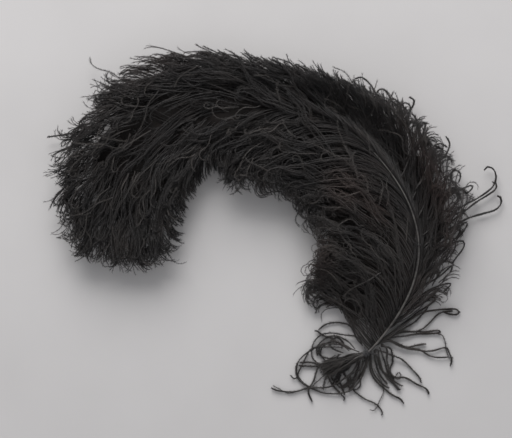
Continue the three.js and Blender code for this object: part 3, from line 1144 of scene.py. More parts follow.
def grow_on(
    mesh: BarbMesh, lines: Array, width: Array, spine: Spine, rng: np.random.Generator,
    painted_highlight: Array | float = 0.0,
) -> None:
    """Grows centre lines on a mesh, with the turned dye of the places they cross and any painted
    highlight.

    Args:
        mesh: The mesh that they are added to.
        lines: Centre lines, shape (barbs, points, 3).
        width: Each barb's width at its root.
        spine: The spine they are measured from.
        rng: The seeded source of chance.
        painted_highlight: How much paler each barb is painted, a painted highlight, from 0 to 1.
    """
    s, d = spine.locate(lines[..., :2])
    # second fade: dust from the patches, or the strays' painted highlight, whichever is stronger
    dust = np.maximum(fade_at(s, d, DUST_PATCHES), np.reshape(painted_highlight, (-1, 1)))
    fade = np.stack([fade_at(s, d, BROWN_PATCHES), dust], axis=-1)
    mesh.grow(lines, width, fade, rng)


def rows(*values: tuple[float, float, float, float, float, float]) -> tuple[TipRow, ...]:
    """Tip rows from plain tuples."""
    return tuple(TipRow(*value) for value in values)


FACE = Feather(
    name="face",
    layer=2,
    run=340.0,
    vanes=(
        Vane(
            Side.INNER,
            rows(
                (-2, -12, 86, 112, 170, 22),
                (12, 10, 92, 108, 250, 26),
                (30, 58, 94, 105, 330, 27),
                (60, 146, 97, 88, 340, 27),
                (75, 190, 101, 90, 330, 27),
                (90, 235, 92, 75, 300, 24),
                (120, 296, 84, 25, 230, 22),
                (150, 338, 80, 10, 190, 22),
                (180, 360, 78, 10, 200, 22),
                (210, 372, 74, 12, 210, 22),
                (240, 377, 60, 10, 190, 20),
                (270, 384, 47, 8, 150, 18),
                (300, 396, 36, 5, 100, 16),
                (340, 405, 22, 2, 60, 20),
            ),
            ((-2, 92), (12, 62), (30, 40), (60, 30), (120, 20), (160, 11), (340, 12)),
        ),
        Vane(
            Side.OUTER,
            rows(
                (-2, 22, -26, -62, -90, 16),
                (12, 48, -18, -50, -80, 14),
                (30, 84, -22, -38, -90, 14),
                (60, 122, -31, -36, -110, 16),
                (90, 166, -42, -38, -130, 16),
                (120, 205, -44, -40, -160, 17),
                (150, 232, -44, -24, -50, 17),
                (180, 266, -38, -8, -8, 16),
                (210, 304, -33, -6, -5, 16),
                (250, 349, -36, -12, -10, 16),
                (290, 385, -54, -32, -40, 16),
                (340, 425, -68, -36, -30, 16),
            ),
            ((-2, 60), (12, 30), (60, 18), (150, 9), (280, 9), (340, 20)),
            shortest=0.5,
        ),
    ),
    stretches=(("lower", -9, 115), ("middle", 115, 230), ("upper", 230, 400)),
    layer_range=(0.66, 0.97),
)

MIDDLE = Feather(
    name="middle",
    layer=1,
    run=510.0,
    vanes=(
        Vane(
            Side.INNER,
            rows(
                (-2, -16, 62, 110, 120, 20),
                (15, 20, 84, 112, 220, 24),
                (60, 138, 94, 90, 300, 26),
                (120, 262, 85, 30, 200, 22),
                (200, 354, 72, 5, 140, 20),
                (270, 384, 50, 10, 60, 16),
                (330, 428, 44, 20, 35, 16),
                (370, 466, 49, 22, 35, 15),
                (410, 505, 54, 22, 40, 15),
                (450, 545, 58, 16, 50, 14),
                (480, 564, 52, 10, 40, 12),
                (500, 570, 32, 6, 30, 10),
                (510, 572, 8, 0, 20, 10),
            ),
            ((-2, 92), (15, 58), (30, 42), (60, 30), (150, 14), (340, 18), (510, 12)),
            shortest=0.45,
        ),
        Vane(
            Side.OUTER,
            rows(
                (-2, 24, -40, -66, -90, 16),
                (20, 62, -22, -46, -90, 15),
                (60, 122, -34, -42, -100, 18),
                (120, 190, -52, -44, -140, 20),
                (200, 276, -42, -8, -8, 18),
                (280, 349, -40, -12, -8, 16),
                (330, 384, -64, -34, 40, 16),
                (365, 412, -82, -46, 60, 18),
                (400, 448, -86, -48, 50, 18),
                (440, 490, -84, -46, 50, 18),
                (470, 527, -72, -36, 40, 16),
                (492, 555, -52, -24, 30, 14),
                (502, 568, -28, -10, -15, 12),
                (510, 572, -8, -2, 0, 10),
            ),
            ((-2, 60), (20, 26), (150, 12), (280, 14), (400, 34), (480, 34), (510, 12)),
            shortest=0.45,
        ),
    ),
    stretches=(("lower", -9, 115), ("middle", 115, 230), ("upper", 230, 345), ("tip", 345, 520)),
    layer_range=(0.3, 0.72),
    pitch=1.6,
    barbules=95,
)

UNDER = Feather(
    name="under",
    layer=0,
    run=440.0,
    vanes=(
        Vane(
            Side.INNER,
            rows(
                (-2, -8, 66, 108, 110, 20),
                (30, 52, 88, 105, 220, 24),
                (80, 168, 94, 80, 260, 26),
                (150, 285, 84, 26, 160, 22),
                (230, 362, 68, 8, 110, 20),
                (300, 392, 54, 14, 50, 16),
                (380, 450, 47, 24, 40, 16),
                (440, 505, 44, 18, 30, 12),
            ),
            ((-2, 90), (30, 44), (80, 30), (150, 16), (440, 24)),
            shortest=0.5,
        ),
        Vane(
            Side.OUTER,
            rows(
                (-2, 30, -44, -64, -80, 18),
                (20, 66, -36, -50, -100, 18),
                (60, 118, -38, -46, -110, 20),
                (90, 150, -54, -48, -150, 22),
                (120, 182, -56, -46, -160, 22),
                (160, 230, -50, -22, -25, 18),
                (240, 308, -40, -12, -10, 18),
                (320, 376, -64, -36, 30, 16),
                (360, 406, -84, -48, 50, 18),
                (400, 444, -88, -50, 50, 18),
                (430, 486, -84, -44, 50, 16),
                (440, 510, -66, -32, 40, 14),
            ),
            ((-2, 60), (20, 30), (150, 18), (280, 20), (400, 38), (440, 38)),
            shortest=0.45,
        ),
    ),
    stretches=(("lower", -9, 115), ("middle", 115, 230), ("upper", 230, 345), ("tip", 345, 450)),
    layer_range=(0.02, 0.34),
    pitch=2.0,
    barbules=70,
)


# ---- Locks that cross the shaft, strays, and flue at the stem ----


@dataclass(frozen=True)
class Flow:
    """Which way barbs lie on the plume's face, in degrees from the spine.

    Each row is a place along the spine and each column a distance from it; positive
    directions lean towards the hollow.
    """

    offsets: tuple[float, ...] = (-80, -45, -15, 15, 45, 90)
    rows: tuple[tuple[float, ...], ...] = (
        (0, -70, -50, -25, 40, 75, 112),
        (50, -60, -50, -32, 44, 56, 105),
        (100, -50, -38, -12, 28, 50, 95),
        (150, -45, -30, -10, 8, 33, 60),
        (200, -40, -28, -8, -2, 10, 50),
        (250, -35, -15, -25, -22, 0, 45),
        (300, -30, -12, -45, -22, -3, 25),
        (350, -40, -35, -27, -8, 0, 3),
        (400, -42, -33, 0, 10, 22, 26),
        (450, -40, -23, -5, 9, 18, 25),
        (500, -34, -14, -2, 4, 11, 20),
        (560, -26, -6, 1, 2, 5, 12),
    )

    def at(self, s: Array, d: Array) -> Array:
        """Directions at plume coordinates."""
        table = np.array(self.rows)
        stations, values = table[:, 0], table[:, 1:]
        row = np.clip(np.searchsorted(stations, s, side="right") - 1, 0, len(stations) - 2)
        along = np.clip((s - stations[row]) / (stations[row + 1] - stations[row]), 0, 1)
        offsets = np.array(self.offsets)
        column = np.clip(np.searchsorted(offsets, d, side="right") - 1, 0, len(offsets) - 2)
        out = np.clip((d - offsets[column]) / (offsets[column + 1] - offsets[column]), 0, 1)
        near = values[row, column] * (1 - out) + values[row, column + 1] * out
        far = values[row + 1, column] * (1 - out) + values[row + 1, column + 1] * out
        return near * (1 - along) + far * along


@dataclass(frozen=True)
class Fringe:
    """Extra clumps along the outer edge: a thick underlay, or spiky locks that stand out."""

    start: float
    end: float
    nearest: float
    farthest: float
    clumps: int
    margin: float
    firmness: float


@dataclass(frozen=True)
class Coat:
    """The barb ends that make the plume's face: locks that follow the flow and curl up.

    Strays are single strands that wander, end sooner and are painted paler: a painted
    highlight on these topmost strands. The calm region is the crown's smooth side, where
    tips curl less; the edge is the curled hollow side.
    """

    barber: Barber
    flow: Flow
    clumps: int = 460
    fringes: tuple[Fringe, ...] = (
        Fringe(325.0, 548.0, 10.0, 42.0, 95, -6.0, 0.8),
        Fringe(505.0, 556.0, 40.0, 84.0, 32, -3.0, 0.8),
        Fringe(325.0, 550.0, 12.0, 24.0, 34, 2.0, 0.97),
        Fringe(120.0, 230.0, 8.0, 20.0, 12, 2.0, 0.95),
        Fringe(225.0, 350.0, 4.0, 30.0, 80, -4.0, 0.6),
        Fringe(360.0, 440.0, 8.0, 34.0, 40, -5.0, 0.6),
    )
    stretches: tuple[tuple[str, float, float], ...] = (
        ("lower", -99, 120), ("middle", 120, 235), ("upper", 235, 336), ("far", 336, 430),
        ("tip", 430, 503), ("end", 503, 999),
    )
    strands: tuple[int, int] = (3, 5)
    widths: tuple[float, float] = (0.8, 1.25)
    barbules: int = 76
    barbule_length: float = 4.1
    run: tuple[float, float] = (8.0, 548.0)
    usual_width: float = 150.0
    thinning: float = 2.9
    length: float = 34.0
    least_length: float = 8.0
    edge: tuple[float, float] = (25.0, 65.0)
    edge_end: float = 330.0
    edge_length: float = 10.0
    edge_curl: float = 230.0
    calm_across: tuple[float, float] = (0.0, 20.0)
    calm_start: tuple[float, float] = (180.0, 230.0)
    calm_end: tuple[float, float] = (330.0, 370.0)
    calm_curl: float = 0.75
    calm_length: float = 0.4
    sway_turn: float = 7.0
    curl: float = 35.0
    curl_length: float = 11.0
    stray_length: float = 0.62
    stray_wander: float = 3.0
    stray_curl: float = 1.7
    # how much paler the strays are painted: a painted highlight on the topmost strands
    stray_highlight: float = 0.65
    steps: int = 11
    curl_steps: int = 6
    bare: tuple[float, float, float] = (205.0, -9.0, 5.0)
    depth: tuple[float, float] = (0.62, 1.0)
    heights: tuple[float, float] = (1.0, 47.0)
    firmness: float = 0.82
    margin: float = -6.0
    farthest_past: float = 4.0
    stray: float = 0.15

    def _seeds(self, rng: np.random.Generator) -> tuple[Array, Array, Array, Array]:
        """Where clumps begin, kept off the bare stretch of the shaft.

        Returns:
            Run, distance, how far past the outline a clump may go, and its firmness.
        """
        n = self.clumps * 3
        s = np.linspace(*self.run, n) + rng.normal(0, 4, n)
        outer, inner = self.barber.outline.reach(s)
        d = outer + 5 + (inner - outer - 14) * rng.uniform(0, 1, n)
        off_shaft = d - self.barber.spine.bow_at(s)
        end, low, high = self.bare
        covered = (s < end) & (off_shaft > low) & (off_shaft < high)
        width = (inner - outer) / self.usual_width
        fullness = 1.0 + 0.3 * smoothstep(s, 330.0, 420.0) + 0.9 * smoothstep(s, 430.0, 500.0)
        keep = ~covered & (rng.uniform(0, 1, n) < width * fullness / self.thinning)
        count = keep.sum()
        seeds = [(s[keep], d[keep], np.full(count, self.margin), np.full(count, self.firmness))]
        for fringe in self.fringes:
            count = fringe.clumps
            s = np.linspace(fringe.start, fringe.end, count) + rng.normal(0, 2.0, count)
            inwards = rng.uniform(fringe.nearest, fringe.farthest, count)
            d = self.barber.outline.reach(s)[0] + inwards
            seeds.append((s, d, np.full(count, fringe.margin), np.full(count, fringe.firmness)))
        s, d, margin, firmness = (np.concatenate(values) for values in zip(*seeds))
        return s, d, margin, firmness

    def lines(self, rng: np.random.Generator) -> tuple[Array, Array, Array]:
        """Centre lines, the run at which each starts, and which ones are strays."""
        spine, loft = self.barber.spine, self.barber.loft
        seed_s, seed_d, margin, firmness = self._seeds(rng)
        stray = rng.uniform(0, 1, len(seed_s)) < self.stray
        strands = rng.integers(self.strands[0], self.strands[1] + 1, len(seed_s))
        strands = np.where(stray, 1, strands)
        clump = np.repeat(np.arange(len(seed_s)), strands)
        n = len(clump)

        def shared(spread: float, own: float) -> Array:
            """Chance with one part for the clump and one for each strand."""
            return rng.normal(0, spread, len(seed_s))[clump] + rng.normal(0, own, n)

        start_s, start_d = seed_s[clump], seed_d[clump]
        here = spine.place(start_s + rng.normal(0, 4, n), start_d + rng.normal(0, 3.0, n))
        edge = smoothstep(start_d, *self.edge) * (start_s < self.edge_end)
        stray = stray[clump]
        length = np.abs(self.length - self.edge_length * edge + shared(10, 5)) + self.least_length
        length = length * np.where(stray, self.stray_length, 1.0)
        wander = np.radians(shared(9, 4) * np.where(stray, self.stray_wander, 1.0))
        sway = shared(0.14, 0.05)
        phase = rng.uniform(0, 2 * math.pi, len(seed_s))[clump] + rng.normal(0, 0.4, n)
        points = [here]
        for step in range(self.steps):
            s, d = spine.locate(here)
            t = step / self.steps
            heading = spine.heading(s) + np.radians(self.flow.at(s, d)) + wander
            heading = heading + sway * np.sin(phase + self.sway_turn * t) * 2.0
            move = np.stack([np.cos(heading), np.sin(heading)], 1)
            here = here + (length / self.steps)[:, None] * move
            points.append(here)
        body = np.stack(points, axis=1)
        body = drawn_together(body, clump, firmness[clump], rng)
        past = np.minimum(margin[clump] + shared(4, 1.5), self.farthest_past)
        body = self.barber.outline.trimmed(body, spine, past)
        curl = shared(100, 25) * np.where(stray, self.stray_curl, 1.0) + self.curl * np.sign(start_d)
        calm = smoothstep(-start_d, *self.calm_across) * smoothstep(start_s, *self.calm_start)
        calm = calm * (1 - smoothstep(start_s, *self.calm_end))
        curl = curl * (1 - self.calm_curl * calm) + edge * self.edge_curl
        curl_length = np.clip(self.curl_length + shared(4, 3), 3.0, 18.0) + 4 + self.edge_length * edge
        curl_length = curl_length * (1 - self.calm_length * calm)
        plan = np.concatenate([body, curled(body, curl, curl_length, self.curl_steps)], axis=1)
        s, d = spine.locate(plan)
        t = np.linspace(0, 1, plan.shape[1])[None, :]
        low, high = self.depth
        level = rng.uniform(0, 1, len(seed_s))[clump] ** 0.7
        start = np.where(stray, high, low + (high - low) * level) - 0.12
        share = start[:, None] + 0.14 * smoothstep(t, 0.0, 0.4) + shared(0.03, 0.015)[:, None] * t
        z = loft.height(s, d, share) + shared(1.2, 0.6)[:, None] * t**2
        height = np.clip(z, *self.heights)[..., None]
        return np.concatenate([plan, height], axis=2), start_s, stray

    def build(self, finish: bpy.types.Material, rng: np.random.Generator) -> None:
        """Builds and dresses the coat in stretches along the spine."""
        lines, starts, stray = self.lines(rng)
        flush = self.barber.lies_flush(lines, self.curl_steps)
        for name, first, last in self.stretches:
            keep = (starts >= first) & (starts < last) & flush
            mesh = BarbMesh(barbules=self.barbules, barbule_length=self.barbule_length)
            widths = rng.uniform(*self.widths, keep.sum())
            # painted highlight: strays lie on top of the coat and are painted paler in the dust colour
            painted_highlight = stray[keep] * self.stray_highlight
            grow_on(mesh, lines[keep], widths, self.barber.spine, rng, painted_highlight)
            dress(mesh.build("face_coat_" + name), finish, "vane_black")


@dataclass(frozen=True)
class Strand:
    """One loose strand, by the points that it passes, in plan from the knot."""

    points: tuple[tuple[float, float], ...]
    width: float = 0.9
    start_height: float = 7.6
    end_height: float = 2.5
    twins: int = 3


def smooth_route(points: Array, samples: int) -> Array:
    """A smooth line through points, evenly spaced along its length."""
    padded = np.concatenate([2 * points[:1] - points[1:2], points, 2 * points[-1:] - points[-2:-1]])
    t = np.linspace(0, 1, 13)[:-1, None]
    pieces = []
    for a, b, c, d in zip(padded, padded[1:], padded[2:], padded[3:]):
        square, cube = 2 * a - 5 * b + 4 * c - d, 3 * b - a - 3 * c + d
        pieces.append(0.5 * (2 * b + (c - a) * t + square * t**2 + cube * t**3))
    line = np.concatenate([*pieces, points[-1:]])
    run = np.concatenate([[0.0], np.cumsum(np.linalg.norm(np.diff(line, axis=0), axis=1))])
    even = np.linspace(0, run[-1], samples)
    return np.stack([np.interp(even, run, line[:, axis]) for axis in (0, 1)], axis=1)


@dataclass(frozen=True)
class Wisps:
    """Loose strands that lie on the surface round the knot or stand off the plume's edge."""

    name: str
    strands: tuple[Strand, ...]
    slot: str
    nodes: tuple[str, ...] = ()
    samples: int = 26
    thickness: float = 1.6
    barbules: int = 150
    barbule_length: float = 2.8
    barbule_width: float = 0.45
    barbule_spread: float = 46.0
    tip_share: float = 0.7
    clearance: float = 0.5
    turns: tuple[float, float] = (2.0, 4.0)
    apart: tuple[float, float] = (0.35, 0.3)
    sunk_at: float = 0.7
    rise: float = 0.5
    width_chance: tuple[float, float] = (0.8, 1.1)
    reach_chance: tuple[float, float] = (0.975, 1.0)

    def build(self, spine: Spine, finish: bpy.types.Material, rng: np.random.Generator) -> None:
        """Builds and dresses the strands, each with its twins wound loosely round it."""
        lines, widths = [], []
        t = np.linspace(0, 1, self.samples)
        for strand in self.strands:
            route = smooth_route(np.array(strand.points, float), self.samples) + spine.knot
            step = np.gradient(route, axis=0)
            normal = np.stack([-step[:, 1], step[:, 0]], axis=1)
            normal /= np.linalg.norm(normal, axis=1, keepdims=True) + 1e-9
            for _ in range(strand.twins):
                phase, turns = rng.uniform(0, 2 * math.pi), rng.uniform(*self.turns)
                winding = phase + turns * 2 * math.pi * t
                near, far = self.apart
                apart = strand.width * (near + far * t**3) * np.sin(winding)
                drop = strand.end_height - strand.start_height
                height = strand.start_height + drop * smoothstep(t, 0, self.sunk_at)
                height = height + self.rise * strand.width * np.cos(winding)
                width = strand.width * self.thickness * rng.uniform(*self.width_chance)
                height = np.maximum(height + rng.normal(0, 0.5), width / 2 + self.clearance)
                plan = route + normal * apart[:, None]
                reach = t * rng.uniform(*self.reach_chance)
                plan = np.stack([np.interp(reach, t, plan[:, axis]) for axis in (0, 1)], axis=1)
                lines.append(np.column_stack([plan, height]))
                widths.append(width)
        mesh = BarbMesh(
            self.barbules, self.barbule_length, self.barbule_width, self.barbule_spread,
            tip_share=self.tip_share,
        )
        grow_on(mesh, np.array(lines), np.array(widths), spine, rng)
        dress(mesh.build(self.name), finish, self.slot, *self.nodes)


KNOT_STRANDS = (
    Strand(
        (
            (4, 5), (16, 10), (27, 19), (36, 26), (50, 36), (66, 39), (86, 40), (90, 36), (84, 34),
            (73, 37),
        ), 1.1,
    ),
    Strand(
        ((6, 6), (17, 12), (29, 18), (42, 17), (52, 20), (60, 26), (66, 33), (72, 37), (84, 38)),
    ),
    Strand(((6, 6), (19, 13), (36, 17), (53, 17), (69, 18), (71, 16))),
    Strand(((6, 5), (19, 11), (36, 13), (50, 15), (64, 15), (71, 17)), 0.7),
    Strand(((5, 4), (17, 9), (26, 4), (37, 1), (44, 3), (57, 5)), 1.0),
    Strand(
        ((5, 4), (17, 8), (37, 0), (53, -2), (64, -2), (76, 1), (79, -3), (82, -11), (80, -18)), 1.0,
    ),
    Strand(((45, 16), (69, 15), (75, 7), (77, -3), (79, -10), (84, -9)), 0.7, 4, 2, 1),
    Strand(((5, 4), (20, 8), (37, 1), (49, -1), (59, -7), (70, -9), (79, -9)), 0.8),
    Strand(((4, 0), (17, -5), (30, -10), (40, -19), (49, -29), (51, -35)), 0.7),
    Strand(
        (
            (10, 5), (16, 0), (16, -11), (19, -23), (24, -29), (34, -29), (46, -36), (56, -40),
            (59, -47),
        ), 1.1,
    ),
    Strand(
        ((16, -11), (19, -23), (24, -29), (28, -24), (31, -27), (28, -31), (24, -29)), 0.7, 5, 3, 1,
    ),
    Strand(((7, -1), (9, -14), (13, -24), (20, -33), (30, -42)), 1.0),
    Strand(((0, -2), (1, -20), (7, -31), (16, -39), (19, -40)), 0.8),
    Strand(((-1, -2), (-1, -20), (4, -31), (13, -40), (22, -47), (30, -51), (34, -56)), 0.9),
    Strand(((10, 3), (20, 0), (22, -13), (19, -23), (24, -32)), 0.7),
    Strand(((4, -1), (10, -20), (21, -31), (28, -43)), 0.9),
    Strand(((8, 2), (13, -10), (18, -26), (25, -34), (33, -38)), 0.8),
    Strand(((3, -1), (5, -14), (9, -26), (17, -36)), 0.8),
    Strand(((3, -20), (13, -40), (7, -57), (3, -63), (-1, -62)), 0.45, 3, 2, 1),
    Strand(((8, 8), (26, 16), (40, 24), (50, 32), (58, 42)), 0.9),
    Strand(((10, 9), (28, 22), (44, 34), (60, 45), (66, 50), (62, 53)), 0.9),
)

INNER_STRANDS = (
    Strand(((-10, 5), (-14, 10), (-21, 23), (-30, 26), (-44, 25), (-53, 19)), 0.8),
    Strand(
        (
            (-9, 3), (-11, 9), (-16, 13), (-27, 14), (-40, 16), (-50, 14), (-57, 7), (-60, -3),
            (-58, -11), (-50, -16),
        ), 0.7,
    ),
    Strand(((-20, 0), (-26, 3), (-38, 9), (-57, 18)), 1.3),
    Strand(((-22, -2), (-33, 7), (-44, 6), (-51, -3), (-46, -12), (-36, -12), (-32, -5)), 0.6),
    Strand(
        (
            (-12, -3), (-27, 3), (-44, 5), (-58, 0), (-71, -10), (-76, -20), (-73, -31), (-64, -39),
            (-52, -43),
        ), 0.8,
    ),
    Strand(
        ((-30, 2), (-48, 2), (-60, 0), (-68, -14), (-73, -24), (-75, -30), (-78, -31), (-82, -26)), 0.6,
    ),
    Strand(((-28, -4), (-38, 0), (-42, 6), (-35, 11), (-28, 7), (-30, 0)), 0.6),
    Strand(((-36, -6), (-50, -16), (-60, -14), (-72, -14)), 0.6),
    Strand(((-36, -8), (-50, -17), (-61, -18), (-73, -17)), 0.6),
    Strand(((-16, 0), (-24, 8), (-36, 13), (-46, 10), (-54, 2), (-54, -8)), 0.6),
    Strand(((-30, -5), (-40, -10), (-52, -6), (-50, 4), (-40, 6)), 0.5),
)

OUTER_STRANDS = (
    Strand(
        (
            (-3, -4), (-8, -26), (-18, -40), (-30, -45), (-47, -45), (-60, -40), (-70, -33),
            (-75, -24), (-73, -14),
        ), 0.8,
    ),
    Strand(((-5, -8), (-14, -30), (-18, -41), (-7, -50), (6, -57), (12, -64), (11, -68)), 0.7),
    Strand(((-18, -10), (-23, -20), (-33, -27), (-38, -37), (-36, -39)), 0.8),
    Strand(
        ((-10, -8), (-20, -24), (-40, -38), (-64, -40), (-78, -44), (-93, -43), (-101, -39)), 0.9,
    ),
    Strand(((-46, -39), (-64, -40), (-81, -45), (-93, -41), (-99, -37)), 0.6, 3, 2, 1),
    Strand(((-36, -10), (-50, -17), (-54, -20), (-57, -31), (-63, -43), (-59, -54)), 0.8),
    Strand(((-34, -12), (-41, -21), (-60, -39)), 0.45, 6, 2, 1),
    Strand(((-34, -14), (-43, -24), (-41, -33), (-37, -39), (-27, -49), (-28, -53)), 0.7),
    Strand(((-18, -8), (-30, -20), (-33, -29), (-30, -37), (-26, -47)), 0.9),
    Strand(((-10, -6), (-14, -23), (-18, -31), (-27, -39)), 0.8),
    Strand(((-32, -12), (-38, -21), (-46, -31), (-48, -43)), 0.45, 6, 2, 1),
    Strand(
        ((-14, -8), (-22, -18), (-30, -22), (-36, -32), (-30, -40), (-22, -36), (-20, -28)), 0.7,
    ),
    Strand(((-8, -6), (-10, -20), (-20, -26), (-24, -36), (-16, -42), (-10, -36), (-12, -28)), 0.7),
    Strand(((-20, -8), (-27, -15), (-27, -26), (-22, -32), (-29, -40)), 0.8),
    Strand(((-22, -9), (-33, -18), (-40, -28), (-34, -34), (-30, -26)), 0.7),
    Strand(((-6, -5), (-6, -18), (-12, -28), (-18, -36), (-22, -44)), 0.9),
    Strand(((-2, -3), (-4, -14), (-8, -24), (-16, -33), (-26, -38)), 0.8),
)

EDGE_STRANDS = (
    Strand(
        (
            (48, 96), (70, 114), (94, 130), (108, 135), (123, 139), (130, 144), (132, 150),
            (129, 155), (125, 154),
        ), 1.1, 12, 6,
    ),
    Strand(
        (
            (44, 96), (62, 112), (83, 130), (94, 139), (108, 149), (119, 156), (127, 162),
            (126, 168), (121, 168),
        ), 1.1, 12, 7,
    ),
    Strand(
        (
            (48, 112), (64, 124), (81, 136), (94, 145), (112, 155), (123, 164), (126, 173),
            (124, 181), (118, 184), (114, 180),
        ), 1.0, 13, 8,
    ),
    Strand(
        ((56, 130), (70, 146), (81, 156), (95, 163), (102, 165), (101, 161), (95, 156)), 0.8, 14, 9,
    ),
    Strand(((58, 140), (70, 162), (79, 176), (86, 180), (90, 176), (88, 167)), 0.8, 14, 9),
    Strand(((44, 160), (55, 178), (62, 187), (72, 192), (79, 205), (75, 215)), 0.9, 15, 10),
    Strand(((48, 165), (60, 184), (62, 202), (70, 207), (77, 203)), 0.7, 15, 10),
    Strand(((34, 190), (46, 206), (52, 216), (54, 227), (48, 228)), 0.8, 15, 11),
    Strand(((22, 214), (32, 228), (38, 238), (43, 249), (38, 254)), 0.9, 16, 12),
    Strand(((26, 214), (36, 230), (39, 244), (33, 248), (30, 243)), 0.6, 16, 12),
    Strand(((20, 222), (28, 238), (28, 248), (20, 252), (16, 247), (20, 242)), 0.6, 16, 12),
    Strand(((46, 78), (66, 94), (81, 106), (92, 109), (94, 104), (88, 94), (82, 86)), 0.9, 11, 6),
    Strand(((50, 96), (72, 112), (88, 123), (97, 128), (95, 121), (86, 110)), 0.8, 11, 6),
    Strand(((26, 34), (42, 48), (62, 61), (81, 66), (73, 57)), 0.8, 9, 4),
    Strand(((32, 42), (48, 61), (68, 72), (82, 84), (80, 76)), 0.8, 9, 4),
    Strand(((38, 56), (56, 76), (76, 90), (86, 104), (83, 112)), 0.8, 10, 5),
    Strand(((44, 70), (60, 90), (76, 102), (90, 118), (86, 126)), 0.8, 10, 5),
    Strand(((40, 120), (56, 150), (66, 172), (70, 186), (66, 196)), 0.9, 14, 12),
    Strand(((36, 140), (50, 170), (56, 192), (60, 205), (55, 210)), 0.9, 15, 12),
    Strand(((28, 170), (40, 196), (44, 216), (47, 226), (42, 230)), 0.9, 16, 13),
    Strand(((-250, 270), (-262, 278), (-275, 282), (-282, 288), (-283, 294)), 0.4, 22, 14, 1),
    Strand(((-278, 226), (-290, 220), (-302, 217), (-315, 215), (-327, 213)), 0.7, 20, 10),
    Strand(((-56, 262), (-70, 276), (-78, 284), (-84, 292), (-86, 297)), 0.45, 22, 14, 1),
    Strand(((-10, 250), (-16, 262), (-20, 269), (-28, 279), (-40, 284)), 0.45, 22, 14, 1),
    Strand(((-18, 252), (-26, 262), (-31, 269), (-36, 278)), 0.45, 20, 14, 1),
    Strand(((6, 236), (8, 246), (5, 256), (-3, 268), (-10, 273), (-17, 272)), 0.7, 20, 14),
    Strand(((22, 228), (22, 240), (19, 252), (14, 260), (8, 261), (5, 257)), 0.8, 18, 13),
    Strand(((28, 222), (30, 236), (26, 244), (20, 245), (17, 240)), 0.6, 18, 13),
)


@dataclass(frozen=True)
class PackedBarbs:
    """The inside of the plume, where barbs lie too thick to tell apart: a soft lens."""

    spine: Spine
    loft: Loft
    outline: Outline
    inset: float = 20.0
    start: float = 2.0
    end: float = 548.0
    level: float = 0.33
    fill: float = 0.44
    lumps: float = 0.1
    closing: tuple[float, float] = (40.0, 50.0)
    ragged: tuple[tuple[float, float, float], ...] = ((0.07, 0.21, 0.0), (0.05, 0.53, 1.0))
    crown_out: float = 11.0
    crown_start: tuple[float, float] = (230.0, 290.0)
    crown_end: tuple[float, float] = (420.0, 470.0)
    tip_in: float = 6.0
    tip_start: tuple[float, float] = (430.0, 480.0)
    fullness: float = 3.0
    crowding: float = 0.8
    across: int = 18
    step: float = 4.0

    def _grid(self, top: bool) -> Array:
        """One face of the lens, as a grid of points."""
        rows = int((self.end - self.start) / self.step) + 1
        s = np.linspace(self.start, self.end, rows)[:, None]
        u = np.linspace(-1, 1, self.across + 1)[None, :]
        low, high = self.outline.reach(s)
        first, last = self.closing
        closing = plateau(s, (self.start, self.start + first), (self.end - last, self.end))
        middle = (low + high) / 2
        ragged = 1
        for swing, rate, phase in self.ragged:
            ragged = ragged + swing * np.sin(s * rate + phase)
        outwards = self.crown_out * smoothstep(s, *self.crown_start)
        low = low - outwards * (1 - smoothstep(s, *self.crown_end))
        low = low + self.tip_in * smoothstep(s, *self.tip_start)
        half = ((high - low) / 2 - self.inset) * closing * ragged
        d = middle + half * np.sign(u) * np.abs(u) ** self.crowding
        plump = (1 - np.abs(u) ** self.fullness) * closing * self.fill
        lump = 1 + self.lumps * np.sin(s * 0.31 + d * 0.23) + self.lumps * np.sin(d * 0.41 - s * 0.17)
        share = self.level + (0.5 if top else -0.5) * plump * lump
        s = np.broadcast_to(s, d.shape)
        z = self.loft.height(s, d, share)
        return np.concatenate([self.spine.place(s, d), z[..., None]], axis=2)

    def build(self, finish: bpy.types.Material) -> None:
        """Builds and dresses the lens as one closed mesh."""
        top, bottom = self._grid(True), self._grid(False)
        rows, columns = top.shape[:2]
        lens = bmesh.new()
        upper = [[lens.verts.new(point * MM) for point in line] for line in top]
        lower = [list(line) for line in upper]
        for i in range(1, rows - 1):
            for j in range(1, columns - 1):
                lower[i][j] = lens.verts.new(bottom[i, j] * MM)
        for i in range(rows - 1):
            for j in range(columns - 1):
                lens.faces.new((upper[i][j], upper[i + 1][j], upper[i + 1][j + 1], upper[i][j + 1]))
                lens.faces.new((lower[i][j], lower[i][j + 1], lower[i + 1][j + 1], lower[i + 1][j]))
        bmesh.ops.remove_doubles(lens, verts=lens.verts, dist=1e-5)
        bmesh.ops.recalc_face_normals(lens, faces=lens.faces)
        for face in lens.faces:
            face.smooth = True
        mesh = bpy.data.meshes.new("packed_barbs")
        lens.to_mesh(mesh)
        lens.free()
        piece = bpy.data.objects.new("packed_barbs", mesh)
        bpy.context.scene.collection.objects.link(piece)
        dress(piece, finish, "vane_black")


